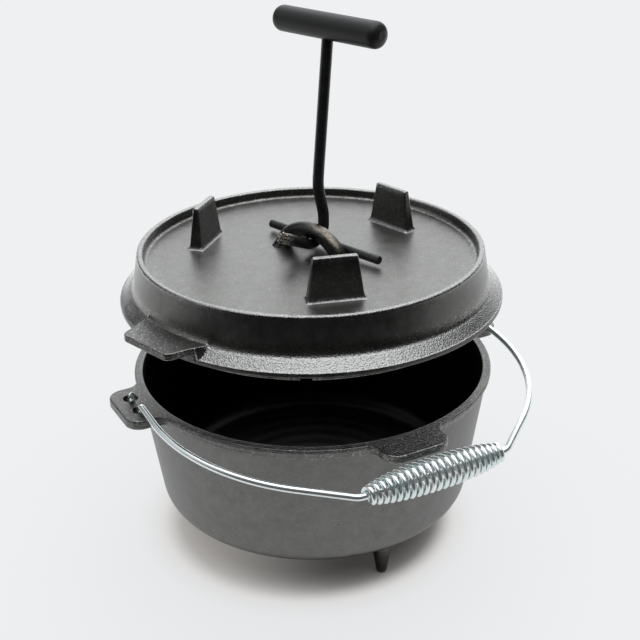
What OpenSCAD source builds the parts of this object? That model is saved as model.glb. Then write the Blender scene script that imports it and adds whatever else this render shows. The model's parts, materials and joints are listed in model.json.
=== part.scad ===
// Camp dutch oven: a footed cast pot with two bail ears, a flanged lid with
// three standing lugs and a lifting loop, a wire bail with a coiled grip and
// a hooked lid lifter. Millimetres. Origin on the ground under the pot's axis,
// +Z up, X through the two bail ears, -Y the side where the bail lies.

/* [Pot] */
// Height from the pot's underside to its rim
pot_h = 104; // [80:1:140]
// Inside radius at the rim
pot_in_r = 125; // [105:1:140]
// Wall thickness, measured level
wall_t = 4.2; // [3:0.1:6]
// How much narrower the outside is at the underside than at the rim
pot_draft = 15; // [6:0.5:24]
// Thickness of the pot's floor
floor_t = 5; // [3.5:0.1:8]
// Outside rounding between wall and underside
base_round = 15; // [8:0.5:22]
// Inside rounding between wall and floor
floor_round = 12; // [6:0.5:18]
// How far the rim stands out from the wall
rim_out = 1.7; // [0.5:0.1:3]
// Height of the rim's plain band
rim_band = 4; // [2:0.5:8]
// Height over which the wall flares out to the rim
rim_flare = 6; // [3:0.5:12]
// Small break on the rim's edges
edge_break = 0.8; // [0.3:0.1:1.5]

/* [Feet] */
// Height of the pot's feet
foot_h = 23.5; // [15:0.5:45]
// Foot diameter on the ground
foot_tip_d = 7.4; // [6:0.2:12]
// Foot diameter at the pot
foot_top_d = 14; // [11:0.5:20]
// Distance of each foot's middle from the outside of the wall
foot_in = 14.2; // [10:0.2:34]

/* [Ears and grips on the rim] */
// Reach of the bail ears past the rim
ear_out = 21.6; // [18:0.2:27]
// Half width of a bail ear
ear_half_w = 25; // [20:0.5:30]
// Ear thickness
ear_t = 7; // [5:0.5:10]
// Corner rounding of an ear
ear_corner = 11; // [5:0.5:12]
// Fillet where an ear or a grip meets the rim
root_fillet = 9; // [4:0.5:14]
// Distance of the ear holes from the rim's outside
hole_out = 8.5; // [8:0.1:11]
// Half of the distance between the two holes of an ear
hole_half_gap = 9.4; // [8.5:0.1:11]
// Diameter of the ear holes
hole_d = 10; // [8.5:0.1:11]
// Reach of the pot's two hand grips past the rim
grip_out = 18.6; // [12:0.2:25]
// Half width of a hand grip
grip_half_w = 24.5; // [18:0.5:32]
// Hand grip thickness
grip_t = 6; // [4:0.5:10]
// Corner rounding of a hand grip
grip_corner = 11.5; // [5:0.5:12]

/* [Lid] */
// Height of the lid above its seat, as it is held in the picture
lid_lift = 55.5; // [10:0.5:90]
// Turn of the lid's grips from the line of the ears
lid_turn = 17; // [0:0.5:90]
// Overhang of the lid's flange past the pot's inside radius
flange_over = 11.4; // [8:0.1:13]
// Thickness of the flange's edge
flange_edge = 3.6; // [2.5:0.1:6]
// Height of the ridge where the flange meets the skirt
ridge_h = 10.7; // [8:0.1:14]
// Level width of the flange's slope
flange_w = 9; // [6:0.5:12]
// Level step from the ridge to the skirt's foot
ridge_step = 1.2; // [0.5:0.1:2.5]
// Height from the seat to the top of the raised rim
lid_h = 36; // [30:0.5:48]
// How much narrower the skirt is at its top than at its foot
skirt_draft = 3.4; // [1:0.1:6]
// Thickness of the raised rim
lid_rim_t = 4.6; // [3:0.1:7]
// Depth of the lid's tray below its raised rim
tray_depth = 7.5; // [4:0.5:12]
// Rounding in the tray's corner
tray_round = 3; // [1:0.5:5]
// Thickness of the lid's plate
plate_t = 5.5; // [4:0.5:8]
// Rounding under the plate
under_round = 8; // [4:0.5:12]
// Height of the locating ring below the seat
ring_h = 9; // [5:0.5:12]
// Thickness of the locating ring
ring_t = 4.6; // [3:0.1:7]
// Clearance between locating ring and pot
ring_clear = 2.5; // [1:0.1:4]
// Width of the thermometer notch in the ring
notch_w = 8; // [5:0.5:14]
// Height of the notch from the ring's lower edge
notch_h = 6; // [3:0.5:8]

/* [Lid grips, lugs and loop] */
// Reach of the lid's two grips past the flange
lid_grip_out = 15.6; // [10:0.1:20]
// Half width of a lid grip at its outer edge
lid_grip_tip_w = 24; // [16:0.5:30]
// Half width of a lid grip at its root
lid_grip_root_w = 31; // [24:0.5:36]
// Room between the bail and the grip of the seated lid above it
lid_grip_room = 0.4; // [0.3:0.1:3]
// Thickness of a lid grip
lid_grip_t = 5; // [3:0.1:8]
// Corner rounding of a lid grip
lid_grip_corner = 6; // [3:0.5:10]
// Height of the three standing lugs above the plate
lug_h = 30; // [20:0.5:50]
// Lug width at its foot
lug_base_w = 38; // [28:0.5:48]
// Lug width at its top
lug_top_w = 30; // [18:0.5:40]
// Lug thickness at its foot
lug_base_t = 9.4; // [7:0.1:13]
// Lug thickness at its top
lug_top_t = 4.2; // [3:0.1:9]
// Distance of the lugs from the tray's edge
lug_in = 37.2; // [28:0.2:52]
// Height of the spread foot under each lug
lug_foot_h = 4; // [2:0.5:7]
// How far the spread foot runs out
lug_foot_out = 3; // [1:0.5:5]
// Bar diameter of the lifting loop
loop_d = 11.5; // [9:0.5:14]
// Bend radius of the lifting loop
loop_r = 29.5; // [24:0.5:36]
// Height of the loop's bar centre above the plate
loop_h = 17.4; // [16:0.1:26]

/* [Bail] */
// Bail wire diameter
wire_d = 4.8; // [4:0.1:5.5]
// Gap between the bail and the ear that it lies on
rest_gap = 0.25; // [0.1:0.05:1]
// How far the lying bail slopes down
bail_sag = 5; // [2:0.5:6]
// Inner bend where the bail leaves the ear
neck_r = 4.5; // [4.2:0.1:4.8]
// Angle by which the bail's end stands past level
tail_turn = 50; // [30:1:60]
// Room between the coiled grip and the pot's hand grip
coil_room = 3; // [1:0.5:30]
// Straight wire past each end of the coil
coil_end_room = 0.6; // [0.2:0.1:6]
// Bend radius beside the grip
grip_bend_r = 10; // [8:1:30]
// Turn of the bend beside the grip
grip_bend = 38; // [30:1:42]
// Bend radius of the bail's shoulder
shoulder_r = 135; // [90:1:145]

/* [Coiled grip] */
// Wire diameter of the coil
coil_d = 3.2; // [2.6:0.1:3.3]
// Rise of the coil for each curl at its middle
coil_pitch = 4.9; // [4.2:0.1:5.4]
// Rise for each curl at the coil's ends
coil_end_pitch = 3.8; // [3.7:0.1:4.2]
// Number of curls
coil_n = 22; // [14:1:24]
// Outside diameter at the coil's middle
coil_mid_d = 22.5; // [18:0.5:28]
// Gap between the bail wire and the coil's ends
coil_gap = 0.35; // [0.3:0.05:1]

/* [Lid lifter] */
// Rod diameter of the lifter
rod_d = 8; // [6:0.1:9]
// Gap between the hook and the loop
hook_gap = 0.3; // [0.2:0.05:1]
// How far the hook is wider than the loop's bar
hook_slack = 2; // [1:0.1:3]
// Rise of the hook's open end
hook_rise = 25; // [15:1:35]
// Length of the hook's open end
hook_end = 26; // [16:0.5:34]
// Straight part above the hook
neck_l = 4.5; // [2:0.5:12]
// Lean of the jog above the hook
jog_lean = 14; // [6:0.5:20]
// Length of the jog
jog_l = 12.6; // [6:0.2:20]
// Bend radius at the jog's foot
jog_in_r = 22; // [14:1:30]
// Bend radius at the jog's head
jog_out_r = 40; // [20:1:60]
// Outward lean of the shank
shank_lean = 6.4; // [0:0.2:10]
// Length of the straight shank
shank_l = 103; // [60:1:260]
// Length of the crossbar
cross_l = 106; // [70:1:116]
// Crossbar diameter
cross_d = 6.2; // [5:0.1:9]
// How deep the crossbar is let into the hook's back
cross_sink = 1; // [0.6:0.1:2]
// Clearance of the welded and plugged seats
seat_gap = 0.05; // [0.02:0.01:0.1]
// Length of the lifter's handle
handle_l = 96; // [70:1:130]
// Handle diameter
handle_d = 18; // [14:0.5:24]
// Rounding of the handle's ends
handle_round = 6; // [3:0.5:7]
// Depth of the shank's seat in the handle
handle_seat = 10; // [6:0.5:12]

/* [Hidden] */
$fn = 72;

// Rods end this far short of their bends, and a bead this much wider joins them
bead_in = 0.1;
bead_out = 0.04;

// Cuts run past their faces by this, and joined shapes run into each other by it
over = 1;
// Rim plates start this far inside the pot's inside radius, and their fillets this far out
root_in = 12;
root_side = 6;
// Feet run up into the floor to this far below its top
foot_below = 1.5;
// The hook hangs off the bar's centre by its slack in this direction
slack_a = 53.13;
// The crossbar lies on the hook's back at this angle
cross_a = -50;

iron = [0.22, 0.22, 0.22];
zinc = [0.78, 0.80, 0.82];
black = [0.07, 0.07, 0.075];

// Pot: rim height, outside wall radius by height, and the wall's lean
rim_z = foot_h + pot_h;
pot_top_r = pot_in_r + wall_t;
pot_base_r = pot_top_r - pot_draft;
rim_r = pot_top_r + rim_out;
foot_at = pot_base_r - foot_in;
ear_reach = rim_r + ear_out;
grip_reach = rim_r + grip_out;
hole_at = rim_r + hole_out;
pot_lean = atan(pot_draft / pot_h);
function wall_r(z) = pot_base_r + (z - foot_h) * tan(pot_lean);

// Lid: outline radii, all from the pot's inside radius
ring_r = pot_in_r - ring_clear;
ring_in_r = ring_r - ring_t;
flange_r = pot_in_r + flange_over;
ridge_r = flange_r - flange_w;
skirt_r = ridge_r - ridge_step;
lid_top_r = skirt_r - skirt_draft;
tray_r = lid_top_r - lid_rim_t;
tray_z = lid_h - tray_depth;
under_z = tray_z - plate_t;
loop_z = tray_z + loop_h;
lid_grip_r = flange_r + lid_grip_out;
lug_at = tray_r - lug_in;
lug_turn = lid_turn + 236;
loop_turn = lid_turn - 85;
notch_turn = lid_turn - 137;
lid_z = rim_z + lid_lift;

// Coil: the middle line's radii, and its half length with curls that close up at the ends
coil_end_r = (wire_d / 2 + coil_gap + coil_d / 2) / cos(22.5);
coil_mid_r = (coil_mid_d - coil_d) / 2;
coil_swell = 2.5;
coil_open = coil_pitch - coil_end_pitch;
coil_half_l = coil_n / 2 * (coil_end_pitch + coil_open * coil_swell / (coil_swell + 1));

// Bail: the pin line lies in the middle of the ear's thickness
bail_z = rim_z - ear_t / 2;
wire_r = wire_d / 2;
bail_rise = (wire_r + rest_gap + ear_t / 2) * cos(bail_sag) + ear_half_w * sin(bail_sag);
bail_reach = grip_reach + coil_room + coil_mid_d / 2;
grip_half_l = coil_half_l + coil_d / 2 + coil_end_room;
bend_x = grip_half_l + grip_bend_r * sin(grip_bend);
bend_s = bail_reach - grip_bend_r * (1 - cos(grip_bend));
slant_l = (hole_at - bend_x - shoulder_r * (1 - sin(grip_bend))) / cos(grip_bend);
slant_x = bend_x + slant_l * cos(grip_bend);
slant_s = bend_s - slant_l * sin(grip_bend);
leg_s = slant_s - shoulder_r * cos(grip_bend);
neck_s = hole_half_gap + neck_r;
bail_top = bail_rise * cos(bail_sag) - neck_s * sin(bail_sag) + wire_r - ear_t / 2;
lid_grip_z = bail_top + lid_grip_room;

// Lifter: hook centre, then each corner of the rod in the hook's plane
rod_r = rod_d / 2;
hook_r = loop_d / 2 + hook_gap + hook_slack + rod_r;
hook_x = hook_slack * cos(slack_a);
hook_z = loop_z + hook_slack * sin(slack_a);
tip_a = -90 - hook_rise;
p0 = [hook_x + hook_r, hook_z + neck_l];
p1 = [p0[0] - jog_in_r * (1 - cos(jog_lean)), p0[1] + jog_in_r * sin(jog_lean)];
p2 = [p1[0] - jog_l * sin(jog_lean), p1[1] + jog_l * cos(jog_lean)];
q2 = [p2[0] + jog_out_r * cos(jog_lean), p2[1] + jog_out_r * sin(jog_lean)];
p3 = [q2[0] - jog_out_r * cos(shank_lean), q2[1] + jog_out_r * sin(shank_lean)];
p4 = [p3[0] + shank_l * sin(shank_lean), p3[1] + shank_l * cos(shank_lean)];
cross_out = hook_r + rod_r + cross_d / 2 - cross_sink;
cross_x = hook_x + cross_out * cos(cross_a);
cross_z = hook_z + cross_out * sin(cross_a);

// Points of an arc, from one angle to another
function arc(cx, cy, r, a0, a1, n) =
    [for (i = [0:n]) let (a = a0 + (a1 - a0) * i / n) [cx + r * cos(a), cy + r * sin(a)]];

// Curl centre line: n curls along X, narrow at both ends, with straight run-outs
function curl_r(u) = coil_end_r + (coil_mid_r - coil_end_r) * (1 - pow(abs(u), coil_swell));
function curl_x(u) = coil_n / 2 * (coil_end_pitch * u
    + coil_open * (u - u * pow(abs(u), coil_swell) / (coil_swell + 1)));
function curl(t) = let (a = 360 * coil_n * t, u = 2 * t - 1, r = curl_r(u))
    [curl_x(u), r * cos(a), r * sin(a)];
curl_rings = 8 * coil_n;
curl_mid = [for (i = [0:curl_rings]) curl(i / curl_rings)];
function unit(v) = v / norm(v);
curl_slope = coil_end_pitch / (2 * PI * coil_end_r);
curl_first = curl_mid[0] - coil_d * unit([curl_slope, 0, 1]);
curl_last = curl_mid[curl_rings] + coil_d * unit([curl_slope, 0, 1]);
curl_path = concat([curl_first], curl_mid, [curl_last]);
curl_count = len(curl_path);
function curl_dir(i) = unit(curl_path[min(i + 1, curl_count - 1)] - curl_path[max(i - 1, 0)]);
function curl_ring(i) = let (t = curl_dir(i), e = unit(cross(t, [1, 0, 0])), f = cross(e, t))
    [for (k = [0:5]) curl_path[i] + coil_d / 2 * (cos(60 * k) * e + sin(60 * k) * f)];
curl_least = min([for (i = [0:curl_count - 1]) for (j = [i + 5:1:min(i + 12, curl_count - 1)])
    norm(curl_path[i] - curl_path[j])]) - coil_d;
echo(least_gap_between_curls = curl_least);

// A round rod between two points of the XZ plane, cut short by a little at its ends
module rod(a, b, d, short_a, short_b) {
    v = b - a;
    translate([a[0], 0, a[1]])
        rotate([0, atan2(v[0], v[1]), 0])
            translate([0, 0, short_a])
                cylinder(d = d, h = norm(v) - short_a - short_b);
}

// A bead that closes the joint between two runs of rod in the XZ plane
module bead(p, d) {
    translate([p[0], 0, p[1]])
        sphere(d = d + bead_out);
}

// A bent rod in the XZ plane about a centre, from one angle to another
module bend(c, r, d, a0, a1) {
    translate([c[0], 0, c[1]])
        rotate([90, 0, 0])
            rotate([0, 0, a0])
                rotate_extrude(angle = a1 - a0)
                    translate([r, 0])
                        circle(d = d);
}

// A flat plate that stands out from the rim along +X, flush with its top
module rim_plate(reach, half_w, corner, thick) {
    fc = sqrt(pow(rim_r + root_fillet, 2) - pow(half_w + root_fillet, 2));
    ft = rim_r / (rim_r + root_fillet);
    translate([0, 0, rim_z - thick]) {
        translate([pot_in_r - root_in, -half_w, 0])
            cube([reach - corner - pot_in_r + root_in, 2 * half_w, thick]);
        translate([reach - corner, corner - half_w, 0])
            cube([corner, 2 * (half_w - corner), thick]);
        for (s = [-1, 1])
            translate([reach - corner, s * (half_w - corner), 0])
                cylinder(r = corner, h = thick);
        for (s = [0, 1])
            mirror([0, s, 0])
                difference() {
                    linear_extrude(thick)
                        polygon([[pot_in_r - root_in, half_w - over], [fc, half_w - over],
                            [fc, half_w], [fc * ft, (half_w + root_fillet) * ft],
                            [pot_in_r - root_in, half_w + root_side]]);
                    translate([fc, half_w + root_fillet, -over])
                        cylinder(r = root_fillet, h = thick + 2 * over);
                }
    }
}

// The pot's outside, filled
module pot_outside() {
    cr = wall_r(foot_h + base_round) - base_round / cos(pot_lean);
    fz = rim_z - rim_band - rim_flare;
    rotate_extrude()
        polygon(concat([[0, foot_h]],
            arc(cr, foot_h + base_round, base_round, -90, -pot_lean, 8),
            [[wall_r(fz), fz], [rim_r, rim_z - rim_band], [rim_r, rim_z - edge_break],
            [rim_r - edge_break, rim_z], [0, rim_z]]));
}

// The pot's hollow
module pot_hollow() {
    fz = foot_h + floor_t;
    cr = wall_r(fz + floor_round) - wall_t - floor_round / cos(pot_lean);
    rotate_extrude()
        polygon(concat([[0, fz]],
            arc(cr, fz + floor_round, floor_round, -90, -pot_lean, 8),
            [[wall_r(rim_z) - wall_t, rim_z - edge_break],
            [wall_r(rim_z) - wall_t + edge_break, rim_z],
            [wall_r(rim_z) - wall_t + edge_break, rim_z + over], [0, rim_z + over]]));
}

module pot() {
    color(iron)
        difference() {
            union() {
                pot_outside();
                for (a = [0, 180])
                    rotate([0, 0, a])
                        rim_plate(ear_reach, ear_half_w, ear_corner, ear_t);
                for (a = [90, 270])
                    rotate([0, 0, a])
                        rim_plate(grip_reach, grip_half_w, grip_corner, grip_t);
                for (a = [30, 150, 270])
                    rotate([0, 0, a])
                        translate([foot_at, 0, 0])
                            cylinder(d1 = foot_tip_d, d2 = foot_top_d, h = foot_h + floor_t - foot_below);
            }
            pot_hollow();
            for (s = [-1, 1])
                for (t = [-1, 1])
                    translate([s * hole_at, t * hole_half_gap, rim_z - ear_t - over])
                        cylinder(d = hole_d, h = ear_t + 2 * over);
        }
}

// A standing lug: a plate across the radius that tapers to its top
module lug(base_w, top_w, base_t, top_t, h) {
    intersection() {
        rotate([90, 0, 90])
            translate([0, 0, -base_t])
                linear_extrude(2 * base_t)
                    polygon([[-base_w / 2, 0], [base_w / 2, 0], [top_w / 2, h], [-top_w / 2, h]]);
        rotate([90, 0, 0])
            translate([0, 0, -base_w])
                linear_extrude(2 * base_w)
                    polygon([[-base_t / 2, 0], [base_t / 2, 0], [top_t / 2, h], [-top_t / 2, h]]);
    }
}

// A grip of the lid along +X, from one height to another
module lid_grip(z0, z1) {
    c = lid_grip_corner;
    w = lid_grip_tip_w - c;
    lean = atan((lid_grip_root_w - lid_grip_tip_w) / (lid_grip_r - ridge_r));
    translate([0, 0, z0])
        linear_extrude(z1 - z0)
            polygon(concat([[(ring_in_r + ring_r) / 2, -lid_grip_root_w]],
                arc(lid_grip_r - c, -w, c, -90 + lean, 0, 6),
                arc(lid_grip_r - c, w, c, 0, 90 - lean, 6),
                [[(ring_in_r + ring_r) / 2, lid_grip_root_w]]));
}

// The lid's round body, seat at height 0
module lid_body() {
    difference() {
        rotate_extrude()
            polygon(concat([[0, under_z]],
                arc(ring_in_r - under_round, under_z - under_round, under_round, 90, 0, 6),
                [[ring_in_r, edge_break - ring_h], [ring_in_r + edge_break, -ring_h],
                [ring_r - edge_break, -ring_h], [ring_r, edge_break - ring_h], [ring_r, 0],
                [flange_r - edge_break, 0], [flange_r, edge_break],
                [flange_r, flange_edge - edge_break], [flange_r - edge_break, flange_edge],
                [ridge_r, ridge_h], [skirt_r, ridge_h + ridge_step],
                [lid_top_r, lid_h - edge_break], [lid_top_r - edge_break, lid_h],
                [tray_r + edge_break, lid_h], [tray_r, lid_h - edge_break]],
                arc(tray_r - tray_round, tray_z + tray_round, tray_round, 0, -90, 4),
                [[0, tray_z]]));
        rotate([0, 0, notch_turn])
            translate([ring_in_r - over, -notch_w / 2, -ring_h - over])
                cube([ring_t + 2 * over, notch_w, notch_h + over]);
    }
}

module lid() {
    color(iron)
        translate([0, 0, lid_z]) {
            lid_body();
            for (a = [0, 180])
                rotate([0, 0, lid_turn + a]) {
                    lid_grip(lid_grip_z, lid_grip_z + lid_grip_t);
                    intersection() {
                        lid_grip(flange_edge / 2, lid_grip_z + over);
                        cylinder(r = flange_r - edge_break, h = lid_grip_z + over);
                    }
                }
            for (a = [0, 120, 240])
                rotate([0, 0, lug_turn + a])
                    translate([lug_at, 0, tray_z - over]) {
                        lug(lug_base_w, lug_top_w, lug_base_t, lug_top_t, lug_h + over);
                        lug(lug_base_w + 2 * lug_foot_out, lug_base_w - 2 * over,
                            lug_base_t + 2 * lug_foot_out, lug_base_t - over, lug_foot_h + over);
                    }
            rotate([0, 0, loop_turn])
                intersection() {
                    bend([0, loop_z - loop_r], loop_r, loop_d, 0, 180);
                    translate([-loop_r - loop_d, -loop_d, tray_z - plate_t / 2])
                        cube([2 * (loop_r + loop_d), 2 * loop_d, 2 * loop_r]);
                }
        }
}

// Bail coordinates: X along the ears, the bail's plane tipped down by its sag
module bail_place() {
    translate([0, 0, bail_z])
        rotate([bail_sag, 0, 0])
            children();
}

// A bend that lies in the bail's plane, given in ear and forward distances
module flat_bend(x, s, r, a0, a1) {
    translate([x, -s, bail_rise])
        rotate([0, 0, a0])
            rotate_extrude(angle = a1 - a0)
                translate([r, 0])
                    circle(d = wire_d);
}

// A straight run in the bail's plane, with a bead at its start and end
module flat_rod(x0, s0, x1, s1) {
    translate([x0, -s0, bail_rise])
        rotate([0, 90, atan2(s0 - s1, x1 - x0)])
            translate([0, 0, bead_in])
                cylinder(d = wire_d, h = norm([x1 - x0, s1 - s0]) - 2 * bead_in);
    for (p = [[x0, s0], [x1, s1]])
        translate([p[0], -p[1], bail_rise])
            sphere(d = wire_d + bead_out);
}

module bail_half() {
    flat_bend(grip_half_l, bail_reach - grip_bend_r, grip_bend_r, -90, grip_bend - 90);
    flat_rod(bend_x, bend_s, slant_x, slant_s);
    flat_bend(hole_at - shoulder_r, leg_s, shoulder_r, grip_bend - 90, 0);
    flat_rod(hole_at, leg_s, hole_at, neck_s);
    translate([hole_at, 0, 0])
        rotate([0, 0, -90]) {
            riser = [hole_half_gap, bail_rise - neck_r];
            bend([neck_s, bail_rise - neck_r], neck_r, wire_d, 90, 180);
            rod([hole_half_gap, 0], riser, wire_d, bead_in, bead_in);
            bead([hole_half_gap, 0], wire_d);
            bead(riser, wire_d);
            bend([0, 0], hole_half_gap, wire_d, -180 - tail_turn, 0);
        }
}

module bail_wire() {
    color(zinc)
        bail_place() {
            flat_rod(-grip_half_l, bail_reach, grip_half_l, bail_reach);
            for (s = [0, 1])
                mirror([s, 0, 0])
                    bail_half();
        }
}

module bail_coil_grip() {
    pts = [for (i = [0:curl_count - 1]) each curl_ring(i)];
    sides = [for (i = [0:curl_count - 2]) for (k = [0:5])
        let (a = 6 * i + k, b = 6 * i + (k + 1) % 6)
        each [[a, b, b + 6], [a, b + 6, a + 6]]];
    n = 6 * (curl_count - 1);
    ends = [for (k = [1:4]) each [[0, k + 1, k], [n, n + k, n + k + 1]]];
    color(zinc)
        bail_place()
            translate([0, -bail_reach, bail_rise])
                polyhedron(pts, concat(sides, ends));
}

// Lifter coordinates: the hook's plane is XZ, the loop's bar passes at x = 0
module lifter_place() {
    translate([0, 0, lid_z])
        rotate([0, 0, lid_turn])
            children();
}

module lifter_shank() {
    tip = [hook_x + hook_r * cos(tip_a), hook_z + hook_r * sin(tip_a)];
    tip_dir = [sin(tip_a), -cos(tip_a)];
    color(black)
        lifter_place() {
            rod(tip + hook_end * tip_dir, tip, rod_d, 0, bead_in);
            bend([hook_x, hook_z], hook_r, rod_d, tip_a, 0);
            rod([p0[0], hook_z], p0, rod_d, bead_in, bead_in);
            bend([p0[0] - jog_in_r, p0[1]], jog_in_r, rod_d, 0, jog_lean);
            rod(p1, p2, rod_d, bead_in, bead_in);
            bend(q2, jog_out_r, rod_d, 180 - shank_lean, 180 + jog_lean);
            rod(p3, p4, rod_d, bead_in, 0);
            for (p = [tip, [p0[0], hook_z], p0, p1, p2, p3])
                bead(p, rod_d);
        }
}

module lifter_crossbar() {
    color(black)
        lifter_place()
            difference() {
                translate([cross_x, cross_l / 2, cross_z])
                    rotate([90, 0, 0])
                        cylinder(d = cross_d, h = cross_l);
                bend([hook_x, hook_z], hook_r, rod_d + 2 * seat_gap, tip_a, 0);
            }
}

module lifter_handle() {
    up = [sin(shank_lean), cos(shank_lean)];
    mid = p4 + (handle_d / 2 - handle_seat) * up;
    color(black)
        lifter_place()
            difference() {
                translate([mid[0], 0, mid[1]])
                    rotate([90, 0, 0])
                        rotate_extrude()
                            polygon(concat([[0, -handle_l / 2]],
                                arc(handle_d / 2 - handle_round, handle_round - handle_l / 2,
                                    handle_round, -90, 0, 6),
                                arc(handle_d / 2 - handle_round, handle_l / 2 - handle_round,
                                    handle_round, 0, 90, 6),
                                [[0, handle_l / 2]]));
                rod(p4 - (handle_d / 2 + handle_seat) * up, p4 + seat_gap * up, rod_d + 2 * seat_gap, 0, 0);
            }
}

pot();
lid();
bail_wire();
bail_coil_grip();
lifter_shank();
lifter_crossbar();
lifter_handle();
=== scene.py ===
# %% [markdown]
# # A camp dutch oven, dressed around its frame
# The object is a footed cast iron pot. Its flanged lid hangs above it on a hooked lifter, and a wire
# bail with a wound grip lies against its front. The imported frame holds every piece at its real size.
# Each piece is made again here as a smooth surface with rounded edges and a finish, in the same place.

# %% Load the frame
import json
import bpy
import numpy as np
from mathutils import Matrix, Vector


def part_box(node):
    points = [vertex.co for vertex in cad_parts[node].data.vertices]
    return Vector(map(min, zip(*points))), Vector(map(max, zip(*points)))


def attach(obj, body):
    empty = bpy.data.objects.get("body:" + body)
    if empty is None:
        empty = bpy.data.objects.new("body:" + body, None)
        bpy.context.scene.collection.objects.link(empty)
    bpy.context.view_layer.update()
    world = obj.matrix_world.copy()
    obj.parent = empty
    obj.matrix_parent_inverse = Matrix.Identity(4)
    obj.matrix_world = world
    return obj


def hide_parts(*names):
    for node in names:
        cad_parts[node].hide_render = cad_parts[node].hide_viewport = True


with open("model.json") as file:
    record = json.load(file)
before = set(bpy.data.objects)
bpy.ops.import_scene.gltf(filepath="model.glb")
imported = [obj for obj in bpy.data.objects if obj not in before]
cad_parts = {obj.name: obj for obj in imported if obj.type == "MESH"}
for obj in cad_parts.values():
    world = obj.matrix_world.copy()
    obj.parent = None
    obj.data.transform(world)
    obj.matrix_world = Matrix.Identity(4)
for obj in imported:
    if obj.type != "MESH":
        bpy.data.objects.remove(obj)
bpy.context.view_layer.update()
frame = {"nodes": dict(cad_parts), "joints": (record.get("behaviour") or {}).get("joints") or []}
MM = 0.001
print("nodes in the frame:", sorted(frame["nodes"]))

# %% [markdown]
# # Arrays first, meshes last
# A surface is worked out as one array of points, row after row, in millimetres. Blender could also
# build it face by face, but whole arrays are faster and keep each formula in one place. One helper
# then makes the closed mesh, turns it outwards by the sign of its volume and reports its size.

# %% Grids into closed meshes
def mesh_piece(name, points, quads, tris):
    """An object from points in millimetres, turned outwards where its signed volume is negative."""
    corners = points[np.vstack([quads[:, :3], quads[:, [0, 2, 3]], tris])]
    volume = np.einsum("ij,ij->", corners[:, 0], np.cross(corners[:, 1], corners[:, 2])) / 6
    if volume < 0:
        quads, tris = quads[:, ::-1], tris[:, ::-1]
    mesh = bpy.data.meshes.new(name)
    mesh.vertices.add(len(points))
    mesh.vertices.foreach_set("co", (points * MM).ravel())
    mesh.loops.add(quads.size + tris.size)
    mesh.loops.foreach_set("vertex_index", np.concatenate([quads.ravel(), tris.ravel()]))
    sizes = np.repeat([4, 3], [len(quads), len(tris)])
    mesh.polygons.add(len(sizes))
    mesh.polygons.foreach_set("loop_start", np.cumsum(sizes) - sizes)
    mesh.update(calc_edges=True)
    piece = bpy.data.objects.new(name, mesh)
    bpy.context.scene.collection.objects.link(piece)
    print(f"{name}: {len(sizes)} faces, {abs(volume) / 1000:.1f} cubic cm")
    return piece


def closed_rings(name, grid):
    """A closed solid from rows of rings: quads between neighbouring rings, and a fan to the middle
    point of the first and of the last ring."""
    rows, cols = grid.shape[:2]
    points = np.vstack([grid.reshape(-1, 3), grid[0].mean(0), grid[-1].mean(0)])
    row = np.arange(rows - 1)[:, None] * cols
    here = np.arange(cols)[None, :]
    there = (here + 1) % cols
    quads = np.stack([row + here, row + there, row + cols + there, row + cols + here], -1)
    low, high = here[0], there[0]
    first = np.column_stack([high, low, np.full(cols, rows * cols)])
    last = np.column_stack([low, high, np.full(cols, rows * cols + cols)])
    last += (rows - 1) * cols
    last[:, 2] = rows * cols + 1
    return mesh_piece(name, points, quads.reshape(-1, 4), np.vstack([first, last]))


# %% [markdown]
# # Lines, arcs and soft steps
# The edges of a casting are straight runs joined by arcs, so a few short functions draw every outline
# here. Curve objects could hold them too, but arrays can be mixed, mirrored and carried along a path.

# %% Small pieces of geometry
def unit(v):
    """Each vector divided by its own length."""
    return v / np.linalg.norm(v, axis=-1, keepdims=True)


def smooth(x):
    """A soft step: 0 below 0, 1 above 1, and 3x squared minus 2x cubed between."""
    x = np.clip(x, 0, 1)
    return x * x * (3 - 2 * x)


def mix(a, b, t):
    """The point that lies the share t of the way from a to b."""
    return a + (b - a) * t


def line(p, q, count):
    """Evenly spaced points from p to q, both ends included."""
    return mix(np.array(p, float), np.array(q, float), np.linspace(0, 1, count)[:, None])


def round_dir(degrees):
    """Flat unit vectors at angles from the X axis: cosine and sine."""
    return np.stack([np.cos(np.radians(degrees)), np.sin(np.radians(degrees))], -1)


def arc(cx, cy, r, start, end, count):
    """Points of a flat arc between two angles: centre plus radius times cosine and sine."""
    return np.array([cx, cy]) + r * round_dir(np.linspace(start, end, count))


def join(*runs):
    """One run of points from several that meet end to end, without the doubled ends."""
    return np.vstack([runs[0]] + [run[1:] for run in runs[1:]])


def turn_z(points, degrees):
    """Points turned about the upright axis."""
    c, s = np.cos(np.radians(degrees)), np.sin(np.radians(degrees))
    return points @ np.array([[c, s, 0], [-s, c, 0], [0, 0, 1]])


def full_ring(quarter):
    """A closed outline from its first quarter, mirrored across both axes."""
    flip_x, flip_y = np.array([-1, 1]), np.array([1, -1])
    return np.vstack([quarter[:-1], (quarter * flip_x)[::-1][:-1], -quarter[:-1],
                      (quarter * flip_y)[::-1][:-1]])


def outward(ring):
    """The outward normal of a closed outline: the line from its last to its next point, turned
    by a right angle."""
    along = unit(np.roll(ring, -1, 0) - np.roll(ring, 1, 0))
    return np.column_stack([along[:, 1], -along[:, 0]])


def raised(plan, z):
    """Flat points lifted to a height, given as one number or as one for each point."""
    return np.column_stack([plan, np.broadcast_to(z, len(plan))])


def joint(name):
    """A joint of the frame, by its name."""
    return next(j for j in frame["joints"] if j["name"] == name)


QUARTER = np.radians(np.linspace(0, 90, 6))[1:]
print("helpers ready, lengths in millimetres")

# %% [markdown]
# # Joining castings
# A foot or a lug is cast in one with its pot or lid. Sinking one mesh into the other would leave
# hidden faces, so Boolean modifiers make one skin of them. Smoothing then keeps the creases that are
# sharper than a cast edge, and big flat faces get the say over the normals near them.

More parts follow.
